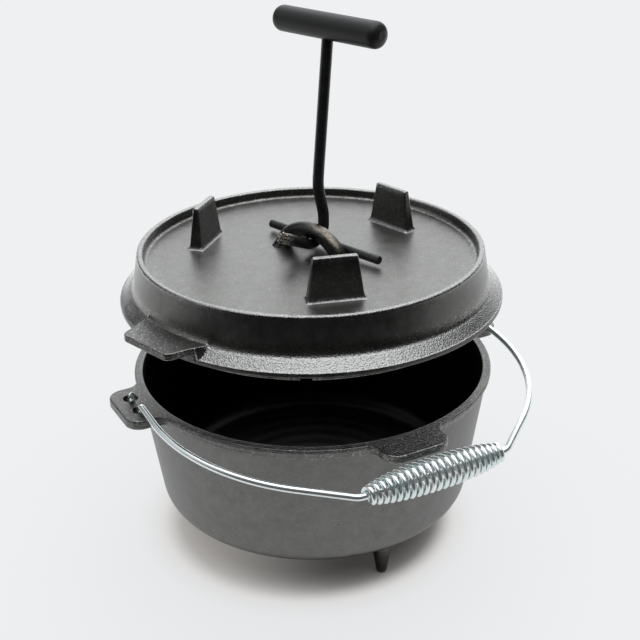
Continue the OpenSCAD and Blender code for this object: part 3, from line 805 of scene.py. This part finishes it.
def handle_grid():
    """A turned grip lying along Y: even between its ends, each of which rolls in by the root of one less
    the square of the share of the rounding."""
    y = np.linspace(-handle_l / 2, handle_l / 2, handle_steps)
    end = np.clip((np.abs(y) - handle_l / 2 + handle_round) / handle_round, 0, 1)
    r = handle_r - handle_round * (1 - np.sqrt(1 - round_share * end ** 2))
    return tube(upright(handle_mid, y), X_WAY, r, handle_sides, handle_tip)


handle = closed_rings("lifter_grip", on_lid(handle_grid(), lid_turn))
soften(handle)

# %% [markdown]
# # Marks for the finishes
# Cast edges wear bright, and that bright colour is also a painted highlight; hollows stay dark. How convex
# the surface is at each point can be worked out from the mesh itself, once and as an attribute, so the
# finish doesn't need any extra geometry.

# %% Convex edges as an attribute
def read_rows(items, field, width, kind):
    """An array read from a mesh's vertices, normals or edges, one row for each."""
    values = np.empty(len(items) * width, kind)
    items.foreach_get(field, values)
    return values.reshape(-1, width)


def mark(piece, name, value):
    """A number for each vertex, kept on the mesh for the finish to read."""
    layer = piece.data.attributes.new(name, "FLOAT", "POINT")
    layer.data.foreach_set("value", np.broadcast_to(value, len(piece.data.vertices)).astype(np.float32))


def mark_edges(piece):
    """Mean, over a vertex's edges, of its normal dotted with the unit vector back from the neighbour:
    above 0 on a ridge, below 0 in a hollow, 0 where flat. Gives back the points and their normals."""
    least_length = 1e-9
    co = read_rows(piece.data.vertices, "co", 3, np.float32)
    normal = read_rows(piece.data.vertex_normals, "vector", 3, np.float32)
    ends = read_rows(piece.data.edges, "vertices", 2, np.int32)
    along = unit(co[ends[:, 0]] - co[ends[:, 1]] + least_length)
    total, count = np.zeros(len(co)), np.zeros(len(co))
    for end, sign in ((0, 1), (1, -1)):
        np.add.at(total, ends[:, end], sign * (normal[ends[:, end]] * along).sum(1))
        np.add.at(count, ends[:, end], 1)
    bend = total / np.maximum(count, 1)
    mark(piece, "edge", bend)
    print(f"{piece.name}: edge marks from {bend.min():.2f} to {bend.max():.2f}")
    return co / MM, normal


# %% Soft masks
def between(value, low, high):
    """A soft mask: 0 up to the low limit, 1 from the high limit."""
    return smooth((value - low) / (high - low))


def until(value, low, high):
    """A soft mask the other way round: 1 up to the low limit, 0 from the high limit."""
    return 1 - between(value, low, high)


def strongest(*layers):
    """At each vertex the largest of several masks, each times its share."""
    return np.maximum.reduce([share * mask for share, mask in layers])


# %% [markdown]
# # Grain and painted shade on the pot
# The pot's wall is finer than its rim and plates, where the sand of the mould was coarser. The inside
# is darkened as painted shade, the shade under the lid, and so are the rim and its plates, which lie in
# the lid's shadow, the ears more than the grips. The feet are darkened too. Such masks could be painted
# with a brush. Here each is a soft step of a radius or a height in millimetres, so that it follows the
# shape.

# %% Marks on the pot
plain_grain, rim_grain, rim_shade, ear_shade = 0.13, 0.9, 0.2, 0.5
pot_points, _ = mark_edges(pot)
pot_r, pot_z = np.hypot(pot_points[:, 0], pot_points[:, 1]), pot_points[:, 2]
on_rim = between(pot_z, rim_z - 9, rim_z - 7) * between(pot_r, pot_in_r, pot_in_r + 2)
on_ears = between(np.abs(pot_points[:, 0]) - np.abs(pot_points[:, 1]), -20, 20)
on_feet = until(pot_z, foot_h - 4, foot_h - 0.5)
inside = between(wall_r(pot_z) - pot_r, 2.5, 3.1) * until(pot_z, rim_z - 2, rim_z - 0.5)
inside = inside * between(pot_z, foot_h + 3, foot_h + 4)
mark(pot, "grain", mix(plain_grain, rim_grain, on_rim))
# soot_and_shade on the pot: painted shade inside it and on the rim under the lid, the ears darker than the
# grips, and the feet darkened
mark(pot, "soot_and_shade", strongest((1, inside), (0.9, on_feet), (mix(rim_shade, ear_shade, on_ears), on_rim)))
print("soot inside the pot and on its feet, grain on its rim and plates")

# %% [markdown]
# # Grain, sooting, wear and painted light on the lid
# The flange is the coarsest part of the lid, and it is paler with a painted sheen; the rim's top and the
# lugs' tops and feet carry a painted highlight. The lugs' sides and the flange's outer edge face are darker
# with painted shade, and the underside is darker with sooting. The hook's rubbing has browned the loop,
# kept to its upward faces as a painted sheen. The same kind of masks name each place first, and the marks
# are then made of the places with a share for each.

# %% Places on the lid
lid_points, lid_faces = mark_edges(lid)
lid_r, lid_up = np.hypot(lid_points[:, 0], lid_points[:, 1]), lid_points[:, 2] - lid_z
lug_belt = between(lid_r, 55, 60) * until(lid_r, 108, 112)
above_tray = between(lid_up, tray_z + 0.5, tray_z + 3)
on_loop = above_tray * until(lid_r, 50, 55)
on_lug = above_tray * lug_belt
lug_feet = lug_belt * between(lid_up, tray_z + 0.05, tray_z + 0.4) * until(lid_up, tray_z + 2, tray_z + 4)
lug_tops = on_lug * between(lid_up, tray_z + lug_h - 2.5, tray_z + lug_h - 1)
rail_top = between(lid_r, tray_r - 0.5, tray_r) * between(lid_up, lid_h - 2.2, lid_h - 1.2)
on_top = np.maximum(lug_tops, rail_top)
in_tray = between(lid_up, tray_z - 1, tray_z - 0.5)
on_rail = in_tray * between(lid_r, tray_r - 6, tray_r - 1) * until(lid_r, lid_top_r - 0.5, lid_top_r)
on_foot = between(lid_r, tray_r + 3, tray_r + 4) * until(lid_up, skirt_foot, skirt_foot + 9)
on_flange = between(lid_r, skirt_r, skirt_r + 2)
on_grip = on_flange * until(side_gap(turn_z(lid_points, -lid_turn)[:, :2]), 0.5, 1.5)
on_edge = between(lid_r, flange_r - 1.2, flange_r - 0.6) * until(lid_up, flange_edge - 1, flange_edge)
flat_flange = on_flange * (1 - on_grip) * (1 - on_edge)
under = until(lid_r, ring_r - 2, ring_r - 0.5) * until(lid_up, under_plate + 1, under_plate + 2)
loop_side = between(lid_points[:, :2] @ round_dir(loop_turn), -4, 14)
# painted sheen: the hook's brown rubbing on the loop is kept to its upward faces, where the light falls
rubbed_and_sheen = on_loop * loop_side * between(lid_up, tray_z + 3, tray_z + 9) * between(lid_faces[:, 2], 0.1, 0.6)
print(f"flange over {on_flange.mean():.0%} of the lid's points, lugs over {on_lug.mean():.0%}")

# %% Marks on the lid
coarse = mix(plain_grain, 1.0, strongest((1, on_flange), (0.7, on_foot))) - 0.5 * on_edge
grainy = strongest((1, coarse), (0.9, on_top), (0.5, on_lug), (0.22, in_tray), (0.75, on_rail),
                   (0.8, lug_feet))
mark(lid, "grain", grainy + 0.3 * on_loop)
# pale: a painted sheen on the flange, and painted highlights on the rim's top, the lugs' tops and their
# feet, a little on the tray beside the rim
mark(lid, "pale", strongest((1, flat_flange), (0.6, on_top), (0.15, on_rail), (0.6, lug_feet)))
# soot_and_shade on the lid: sooting under the plate, on the loop and on the grips, and painted shade on the
# flange's edge face and on the lugs' sides
mark(lid, "soot_and_shade", strongest((0.8, under), (0.8, on_loop), (0.35, on_grip), (0.5, on_edge),
                            (0.4, on_lug * (1 - on_top))))
# rub_and_sheen: the loop's rubbing with its painted sheen, and rubbing on the skirt's foot
mark(lid, "rub_and_sheen", strongest((1, rubbed_and_sheen), (0.3, on_foot * (1 - on_flange))))
print("grain on the flange and its grips, soot and wear on the loop")

# %% Marks on the lifter
bare_rings = (4, 9)
mark_edges(rod)
mark(rod, "bare", until(np.arange(len(rod.data.vertices)) // rod_sides, *bare_rings))
mark_edges(crossbar)
print(f"bare metal on the first {bare_rings[1]} rings of the rod's torn end")

# %% [markdown]
# # Finishes
# A finish is a Principled shader whose colour, roughness and normal are worked out by nodes. Wiring
# them one by one in the editor is the usual way. Short functions for a noise, a range or a product say
# the same in fewer words, and each material then reads like a recipe.

# %% Node helpers
def place(tree, kind, inputs=None, **settings):
    """A node with its settings; each input is a link where it is a socket, and else a value."""
    made = tree.nodes.new(kind)
    for key, value in settings.items():
        setattr(made, key, value)
    for key, value in (inputs or {}).items():
        if isinstance(value, bpy.types.NodeSocket):
            tree.links.new(value, made.inputs[key])
        else:
            made.inputs[key].default_value = value
    return made


def maths(tree, operation, *values):
    """One step of arithmetic on numbers or sockets."""
    return place(tree, "ShaderNodeMath", dict(enumerate(values)), operation=operation).outputs[0]


def times(tree, a, b):
    """The product of two numbers or sockets."""
    return maths(tree, "MULTIPLY", a, b)


def spread(tree, value, low, high, to_low=0.0, to_high=1.0, curve="LINEAR"):
    """A value carried from one range to another and kept inside it, evenly unless a curve is named."""
    limits = {"Value": value, "From Min": low, "From Max": high, "To Min": to_low, "To Max": to_high}
    return place(tree, "ShaderNodeMapRange", limits, interpolation_type=curve).outputs["Result"]


def tone(tree, share, dark, light):
    """A colour that lies the given share of the way from one colour to another."""
    return place(tree, "ShaderNodeMix", {0: share, 6: dark, 7: light}, data_type="RGBA").outputs[2]


def marked(tree, name):
    """The number that a piece's mesh carries under a name, 0 where it carries none."""
    return place(tree, "ShaderNodeAttribute", attribute_name=name).outputs["Fac"]


def own_place(tree):
    """The place on a piece, in the piece's own coordinates."""
    return place(tree, "ShaderNodeTexCoord").outputs["Object"]


def noise(tree, where, scale, detail, rough=0.5):
    """A cloudy pattern of numbers between 0 and 1."""
    return place(tree, "ShaderNodeTexNoise", {"Vector": where, "Scale": scale, "Detail": detail,
                                              "Roughness": rough}).outputs["Fac"]


def cells(tree, where, scale):
    """Scattered cells: the distance from the nearest cell's middle, and one drawn number for each cell."""
    made = place(tree, "ShaderNodeTexVoronoi", {"Vector": where, "Scale": scale})
    drawn = place(tree, "ShaderNodeSeparateColor", {"Color": made.outputs["Color"]})
    return made.outputs["Distance"], drawn.outputs["Red"]


# %% Materials and their sockets
def finish_of(name, **sockets):
    """A new material with its Principled shader's plain values set."""
    made = bpy.data.materials.new(name)
    made.use_nodes = True
    shader = made.node_tree.nodes["Principled BSDF"]
    for label, value in sockets.items():
        shader.inputs[label.replace("_", " ")].default_value = value
    return made, made.node_tree, shader


def feed(tree, shader, **sockets):
    """The shader's sockets linked to what the nodes work out."""
    for label, value in sockets.items():
        tree.links.new(value, shader.inputs[label.replace("_", " ")])


def layered(tree, colour, layers):
    """A colour with others laid over it in turn, each by its own share."""
    for share, over in layers:
        colour = tone(tree, share, colour, over)
    return colour


# %% [markdown]
# # The casting's grain
# Sand leaves a fine grain on cast iron, with larger patches and a few pits, and the bright specks on it are
# painted glints. Pictures of iron could be wrapped round the piece, but they would stretch. Noises and
# cells in the piece's own coordinates fit any form, and one node group holds them for both castings.

# %% Grain group
def grain_group():
    """Noises and cell patterns on object coordinates. The fine noise less half the cell distance is the
    grain's height, the coarse noise is the patches, the fine cells with the highest draws are the specks,
    used for painted glints, and a dot in the middle of a few wide cells is a casting pit."""
    scales = {"Grain Scale": 900, "Patch Scale": 110, "Pit Scale": 75}
    group = bpy.data.node_groups.new("casting grain", "ShaderNodeTree")
    for label, value in scales.items():
        socket = group.interface.new_socket(label, in_out="INPUT", socket_type="NodeSocketFloat")
        socket.default_value = value
    for label in ("Height", "Patches", "Specks", "Pits"):
        group.interface.new_socket(label, in_out="OUTPUT", socket_type="NodeSocketFloat")
    given, out = place(group, "NodeGroupInput").outputs, place(group, "NodeGroupOutput")
    where = own_place(group)
    fine = noise(group, where, given["Grain Scale"], detail=3.0, rough=0.6)
    cell_gap, cell_draw = cells(group, where, given["Grain Scale"])
    wide_gap, wide_draw = cells(group, where, given["Pit Scale"])
    dot = spread(group, wide_gap, 0.03, 0.075, 1.0, 0.0)
    worked_out = {"Height": maths(group, "MULTIPLY_ADD", cell_gap, -0.5, fine),
                  "Patches": noise(group, where, given["Patch Scale"], detail=5.0, rough=0.6),
                  "Specks": spread(group, cell_draw, 0.8, 0.95),
                  "Pits": times(group, dot, maths(group, "GREATER_THAN", wide_draw, 0.72))}
    for label, value in worked_out.items():
        group.links.new(value, out.inputs[label])
    return group


GRAIN = grain_group()
print(f"{GRAIN.name}: {len(GRAIN.nodes)} nodes")

# %% [markdown]
# # Seasoned iron
# Burnt-in oil makes cast iron a dark satin grey. It is bare metal under a thin film, so the shader is
# fully metallic and the colour stays dark. Each trace of making and use is one more layer of colour over
# the plain grey, and painted light lies among them. In turn: a pale painted sheen, painted shade in the
# grain's hollows, painted glints on specks, pits, sooting with painted shade, rubbing with a painted
# sheen, and edge wear with a painted highlight.

# %% Iron
IRON_DARK, IRON_LIGHT = (0.15, 0.15, 0.141, 1), (0.2, 0.2, 0.192, 1)
SHEEN_PALE, BARE_IRON_AND_GLINT = (0.52, 0.52, 0.51, 1), (0.5, 0.5, 0.48, 1)
HOLLOW_SHADE, PIT, SOOT_AND_SHADE = (0.03, 0.03, 0.028, 1), (0.04, 0.04, 0.038, 1), (0.025, 0.025, 0.024, 1)
RUBBED_AND_SHEEN = (0.25, 0.22, 0.175, 1)
GRAIN_LIFT = 0.0003


def seasoned_iron():
    """Dark satin grey: patches shift colour and roughness. A painted sheen, painted glints on specks and
    edge wear with a painted highlight are lighter; painted shade in the grain's hollows, pits, and sooting
    with painted shade are darker; the loop is browned by rubbing with a painted sheen; and the grain lifts
    the surface by a fraction of a millimetre."""
    made, tree, shader = finish_of("seasoned_iron", Metallic=1.0)
    grain = place(tree, "ShaderNodeGroup", {}, node_tree=GRAIN).outputs
    strength, pale = marked(tree, "grain"), marked(tree, "pale")
    # painted shade: where the grain's height is low, the colour darkens
    hollow = spread(tree, grain["Height"], 0.08, 0.3, 0.35, 0.0)
    # painted glints: bright specks of bare-iron colour stand in for the grain's sparkle
    glints = times(tree, strength, spread(tree, pale, 0.0, 1.0, 0.6, 0.25))
    # the loop's brown: rubbing with a painted sheen
    rubbed_and_sheen = times(tree, marked(tree, "rub_and_sheen"), spread(tree, grain["Patches"], 0.3, 0.6))
    rubbed_and_sheen = times(tree, rubbed_and_sheen, spread(tree, grain["Height"], 0.05, 0.4, 0.3, 1.0))
    # edge wear with a painted highlight: convex edges lighten to bare iron, broken up by noise
    worn_and_highlit = spread(tree, marked(tree, "edge"), 0.05, 0.16)
    worn_and_highlit = times(tree, worn_and_highlit, spread(tree, grain["Patches"], 0.35, 0.6, 0.15, 0.9))
    worn_and_highlit = times(tree, worn_and_highlit, spread(tree, grain["Height"], 0.1, 0.35, 0.2, 1.0))
    plain_grey = tone(tree, spread(tree, grain["Patches"], 0.3, 0.7), IRON_DARK, IRON_LIGHT)
    # SHEEN_PALE over the pale mark: a painted sheen and painted highlights
    colour = layered(tree, plain_grey, [(times(tree, pale, 0.5), SHEEN_PALE),
                                        (times(tree, hollow, strength), HOLLOW_SHADE),
                                        (times(tree, grain["Specks"], glints), BARE_IRON_AND_GLINT),
                                        (times(tree, grain["Pits"], 0.55), PIT),
                                        # soot_and_shade: sooting, and painted shade where the castings mark
                                        # it
                                        (times(tree, marked(tree, "soot_and_shade"), 0.96), SOOT_AND_SHADE),
                                        (rubbed_and_sheen, RUBBED_AND_SHEEN),
                                        (worn_and_highlit, BARE_IRON_AND_GLINT)])
    satin = spread(tree, grain["Patches"], 0.3, 0.7, 0.38, 0.45)
    gloss = maths(tree, "MULTIPLY_ADD", strength, -0.2, satin)
    lift = {"Height": grain["Height"], "Strength": strength, "Distance": GRAIN_LIFT}
    bump = place(tree, "ShaderNodeBump", lift).outputs["Normal"]
    feed(tree, shader, Base_Color=colour, Roughness=gloss, Normal=bump)
    return made


IRON = seasoned_iron()
print(f"{IRON.name}: {len(IRON.node_tree.nodes)} nodes")

# %% [markdown]
# # Zinc plate
# The bail and its coil are plated with zinc, which is bright and faintly blue. Polished metal would mirror
# too sharply. A little roughness, which a wide noise varies, and a share of plain scatter soften it.

# %% Zinc
ZINC_BLUE, ZINC_WHITE = (0.83, 0.93, 0.935, 1), (0.97, 0.985, 0.975, 1)


def plated_zinc():
    """Bright bluish metal with faint streaks."""
    made, tree, shader = finish_of("zinc_plate", Metallic=0.79)
    streak = noise(tree, own_place(tree), scale=90.0, detail=2.0)
    tint = tone(tree, spread(tree, streak, 0.3, 0.7), ZINC_BLUE, ZINC_WHITE)
    feed(tree, shader, Base_Color=tint, Roughness=spread(tree, streak, 0.2, 0.8, 0.1, 0.18))
    return made


ZINC = plated_zinc()
print(f"{ZINC.name}: {len(ZINC.node_tree.nodes)} nodes")

# %% [markdown]
# # The lifter's black coat and its grip
# The rod wears a thin black coat with a half gloss, chipped on its sharpest edges, and the torn end is
# bare steel. The grip is duller. Both are dark and not metallic, so they differ mostly in roughness.

# %% Black coat and dull grip
COAT_DARK, COAT_LIGHT, CHIP = (0.016, 0.016, 0.016, 1), (0.034, 0.034, 0.033, 1), (0.3, 0.29, 0.27, 1)
RUST, STEEL = (0.06, 0.045, 0.03, 1), (0.8, 0.76, 0.68, 1)
GRIP_DARK, GRIP_LIGHT = (0.008, 0.008, 0.008, 1), (0.02, 0.02, 0.02, 1)


def black_coat():
    """Smooth black coat, a little uneven, half gloss; the torn end of the rod shows bare steel."""
    made, tree, shader = finish_of("black_coat", Specular_IOR_Level=0.3)
    where = own_place(tree)
    cloud = noise(tree, where, scale=180.0, detail=4.0)
    crumbs = noise(tree, where, scale=700.0, detail=2.0)
    bare = marked(tree, "bare")
    chipped = times(tree, spread(tree, marked(tree, "edge"), 0.08, 0.2), spread(tree, crumbs, 0.5, 0.62))
    steel = tone(tree, spread(tree, crumbs, 0.42, 0.6), RUST, STEEL)
    coat = tone(tree, cloud, COAT_DARK, COAT_LIGHT)
    colour = layered(tree, coat, [(times(tree, chipped, 0.5), CHIP), (bare, steel)])
    feed(tree, shader, Base_Color=colour, Metallic=times(tree, bare, 0.9),
         Roughness=spread(tree, cloud, 0.2, 0.8, 0.2, 0.36))
    return made


def dull_grip():
    """Dull black grip with a fine skin."""
    made, tree, shader = finish_of("dull_grip", Metallic=0.0)
    skin = noise(tree, own_place(tree), scale=900.0, detail=2.0)
    feed(tree, shader, Base_Color=tone(tree, skin, GRIP_DARK, GRIP_LIGHT),
         Roughness=spread(tree, skin, 0.2, 0.8, 0.42, 0.58))
    return made


BLACK, DULL = black_coat(), dull_grip()
print(f"{BLACK.name}: {len(BLACK.node_tree.nodes)} nodes, {DULL.name}: {len(DULL.node_tree.nodes)} nodes")

# %% [markdown]
# # Each piece on its body
# A piece has to move with the body whose solids it stands for. The lifter's four pieces ride together,
# and the weld beads replace nothing, because they are in this scene alone.

# %% Bodies, slots and materials
for piece, body, node, slot, finish in (
        (pot, "pot", "pot", "cast_iron", IRON),
        (lid, "lid", "lid", "cast_iron", IRON),
        (bail, "bail", "bail_wire", "zinc_wire", ZINC),
        (coil, "bail_grip", "bail_coil_grip", "zinc_wire", ZINC),
        (rod, "lifter", "lifter_shank", "black_steel", BLACK),
        (crossbar, "lifter", "lifter_crossbar", "black_steel", BLACK),
        (handle, "lifter", "lifter_handle", "black_grip", DULL)):
    piece.data.materials.append(finish)
    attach(piece, body)
    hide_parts(node)
    print(piece.name, "rides", body)

weld.data.materials.append(BLACK)
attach(weld, "lifter")

# %% [markdown]
# # The studio
# A real studio would hang a large soft box above the oven, put a white backdrop behind it, a pale wall
# at its left, and leave the camera's side dark. That contrast shapes the dark iron. All directions are
# told from the camera's view, so that the light stays in place when the view is changed.

# %% Directions of the studio
PALE = (0.838, 0.855, 0.871, 1)
UP = Vector((0, 0, 1))
look_way = Vector((0.4299, 0.7943, -0.4293)).normalized()
back = Vector((look_way.x, look_way.y, 0)).normalized()
aside = Vector((back.y, -back.x, 0))


def heading(azimuth, elevation):
    """A unit direction: the azimuth turns from straight behind the oven to its right."""
    a, e = np.radians(azimuth), np.radians(elevation)
    return (back * np.cos(a) + aside * np.sin(a)) * np.cos(e) + UP * np.sin(e)


def soft_level(tree, value, low, high, to_low, to_high):
    """A smooth step of a value between two limits, from one level to another."""
    return spread(tree, value, low, high, to_low, to_high, "SMOOTHSTEP")


def towards(tree, vector, way):
    """How far a vector points along a direction."""
    sides = {0: vector, 1: tuple(way)}
    return place(tree, "ShaderNodeVectorMath", sides, operation="DOT_PRODUCT").outputs["Value"]


def plain_rays(tree, ray, mirrored):
    """1 for camera rays, and the given share for rays that a metal or a glass has mirrored."""
    bounced = maths(tree, "MAXIMUM", ray["Is Glossy Ray"], ray["Is Transmission Ray"])
    return maths(tree, "MAXIMUM", times(tree, bounced, mirrored), ray["Is Camera Ray"])


print(f"straight behind the oven is ({back.x:.2f}, {back.y:.2f})")

# %% [markdown]
# # The floor
# The oven stands on a pale sheet with an even tone and a soft shadow under the pot. A sheet that is only
# lit would shade off to its sides. So camera and reflections see it partly as plain pale light, little
# under the pot, where the shadow has to stay, and most further out. That share also paints the shadow: it
# grows from a middle a little in front of the pot and to its left, it is higher at the left as a painted
# fill light, and near the pot the plain light is a warm grey painted shade. Lengths are in metres here.

# %% Floor
FLOOR_HALF = 8
BLACKNESS, SHEET, SHADE = (0, 0, 0, 1), (0.86, 0.835, 0.8, 1), (0.73, 0.695, 0.67, 1)
SHADE_MIDDLE = tuple(-0.0055 * aside - 0.0105 * back)
FADE_BEFORE, FADE_BEHIND, FADE_BESIDE = (0.22, 0.42, 1.0, 0.03), (0.2, 0.6, 1.0, 2.2), (0.25, 0.5, 1.0, 0.8)
PAINTED_FILL_ACROSS, SHADE_EDGE, SHADE_RIM = (-0.096, 0.028, 0.34, 0.032), (0.0965, 0.115), (0.0925, 0.134)
EVEN_SHARE, MIRRORED_BY_FLOOR = 0.86, 1.0


def pale_floor():
    """A pale floor that ends in the dark a little way before the object, for all but the camera. The share
    of plain light grows with the distance from the shade's middle, which paints the shadow's shape, and it
    is higher at the left, a painted fill light. Near the middle the plain light takes the warm shade
    colour, a painted shade. From below the floor is clear, so that the pot's underside can be looked at."""
    made = bpy.data.materials.new("pale_floor")
    made.use_nodes = True
    tree = made.node_tree
    tree.nodes.clear()
    spot = own_place(tree)
    ray = place(tree, "ShaderNodeLightPath").outputs
    across = towards(tree, spot, aside)
    before = soft_level(tree, towards(tree, spot, -back), *FADE_BEFORE)
    behind = soft_level(tree, towards(tree, spot, back), *FADE_BEHIND)
    beside = soft_level(tree, maths(tree, "ABSOLUTE", across), *FADE_BESIDE)
    level = times(tree, times(tree, before, behind), beside)
    shown = soft_level(tree, ray["Is Camera Ray"], 0.0, 1.0, level, 1.0)
    from_middle = {0: spot, 1: SHADE_MIDDLE}
    away = place(tree, "ShaderNodeVectorMath", from_middle, operation="DISTANCE").outputs["Value"]
    # painted shadow: the share of plain light is shaped round a shifted middle and raised at the left as a
    # painted fill light
    even = soft_level(tree, away, *SHADE_EDGE, soft_level(tree, across, *PAINTED_FILL_ACROSS), EVEN_SHARE)
    share = times(tree, plain_rays(tree, ray, MIRRORED_BY_FLOOR), even)
    # painted shade: near the shade's middle the plain light takes the warm SHADE colour
    glow = tone(tree, soft_level(tree, away, *SHADE_RIM, 0.0, 1.0), SHADE, PALE)
    lit = place(tree, "ShaderNodeBsdfDiffuse", {"Color": tone(tree, shown, BLACKNESS, SHEET)}).outputs[0]
    plain = place(tree, "ShaderNodeEmission", {"Color": glow, "Strength": shown}).outputs[0]
    both = place(tree, "ShaderNodeMixShader", {0: share, 1: lit, 2: plain}).outputs[0]
    below = place(tree, "ShaderNodeNewGeometry").outputs["Backfacing"]
    clear = place(tree, "ShaderNodeBsdfTransparent").outputs[0]
    seen = place(tree, "ShaderNodeMixShader", {0: below, 1: both, 2: clear}).outputs[0]
    place(tree, "ShaderNodeOutputMaterial", {"Surface": seen})
    return made


floor_mesh = bpy.data.meshes.new("floor")
corners = [(-FLOOR_HALF, -FLOOR_HALF, 0), (FLOOR_HALF, -FLOOR_HALF, 0),
           (FLOOR_HALF, FLOOR_HALF, 0), (-FLOOR_HALF, FLOOR_HALF, 0)]
floor_mesh.from_pydata(corners, [], [(0, 1, 2, 3)])
floor = bpy.data.objects.new("floor", floor_mesh)
bpy.context.scene.collection.objects.link(floor)
floor.data.materials.append(pale_floor())
print(f"floor of {2 * FLOOR_HALF} m by {2 * FLOOR_HALF} m")

# %% [markdown]
# # The sky as studio light
# Lamps would do, but their edges show in the bright wire. The sky holds each panel as a smooth step of
# direction instead. The camera sees the sky as plain pale. What metal mirrors are the panels, with a faint
# share of that pale background, because an even bright sky would take the dark sides from the iron.

# %% Sky
MIRRORED_BY_SKY = 0.04
PANELS = {"soft box above": (2.7, heading(60, 84), 50, 22),
          "backdrop behind": (2.08, heading(6, 24), 47, 14),
          "pale wall at the left": (0.73, heading(270, 33), 36, 8)}
world = bpy.data.worlds.new("studio")
bpy.context.scene.world = world
world.use_nodes = True
sky = world.node_tree
sky.nodes.clear()
way = place(sky, "ShaderNodeTexCoord").outputs["Generated"]
level = 0.0
for panel, (strength, middle, outer, inner) in PANELS.items():
    limits = np.cos(np.radians([outer, inner]))
    glow = soft_level(sky, towards(sky, way, middle), *limits, 0.0, strength)
    level = maths(sky, "ADD", glow, level)
    print(f"{panel}: level {strength}, fades from {inner} to {outer} degrees off its middle")
plain = plain_rays(sky, place(sky, "ShaderNodeLightPath").outputs, MIRRORED_BY_SKY)
lit = place(sky, "ShaderNodeBackground", {"Color": PALE, "Strength": level}).outputs[0]
seen = place(sky, "ShaderNodeBackground", {"Color": PALE, "Strength": 1.0}).outputs[0]
both = place(sky, "ShaderNodeMixShader", {0: plain, 1: lit, 2: seen}).outputs[0]
place(sky, "ShaderNodeOutputWorld", {"Surface": both})

# %% [markdown]
# # The camera
# The view is the one in which the oven was measured: a little from the left and above, with a long lens.
# Its place and direction came from fitting the rim, the lid and the pot's outline. The camera's own axes
# are worked out from the direction and a small roll.

# %% Camera
FOCAL_PX, IMAGE_PX, SENSOR, FARTHEST = 1190, 640, 36, 50
CAMERA_AT, ROLL = (-0.3686, -0.6933, 0.5316), -0.78
camera_data = bpy.data.cameras.new("photo_view")
camera_data.sensor_width = SENSOR
camera_data.lens = SENSOR * FOCAL_PX / IMAGE_PX
camera_data.clip_end = FARTHEST
camera = bpy.data.objects.new("photo_view", camera_data)
level_right = look_way.cross(UP).normalized()
level_up = level_right.cross(look_way).normalized()
roll_c, roll_s = round_dir(ROLL)
right, up = level_right * roll_c + level_up * roll_s, level_up * roll_c - level_right * roll_s
turned_to = Matrix((right, up, -look_way)).transposed().to_4x4()
camera.matrix_world = Matrix.Translation(CAMERA_AT) @ turned_to
bpy.context.scene.collection.objects.link(camera)
bpy.context.scene.camera = camera
bpy.context.scene.view_settings.view_transform = "Standard"
print(f"lens of {camera_data.lens:.1f} mm on a sensor of {SENSOR} mm")
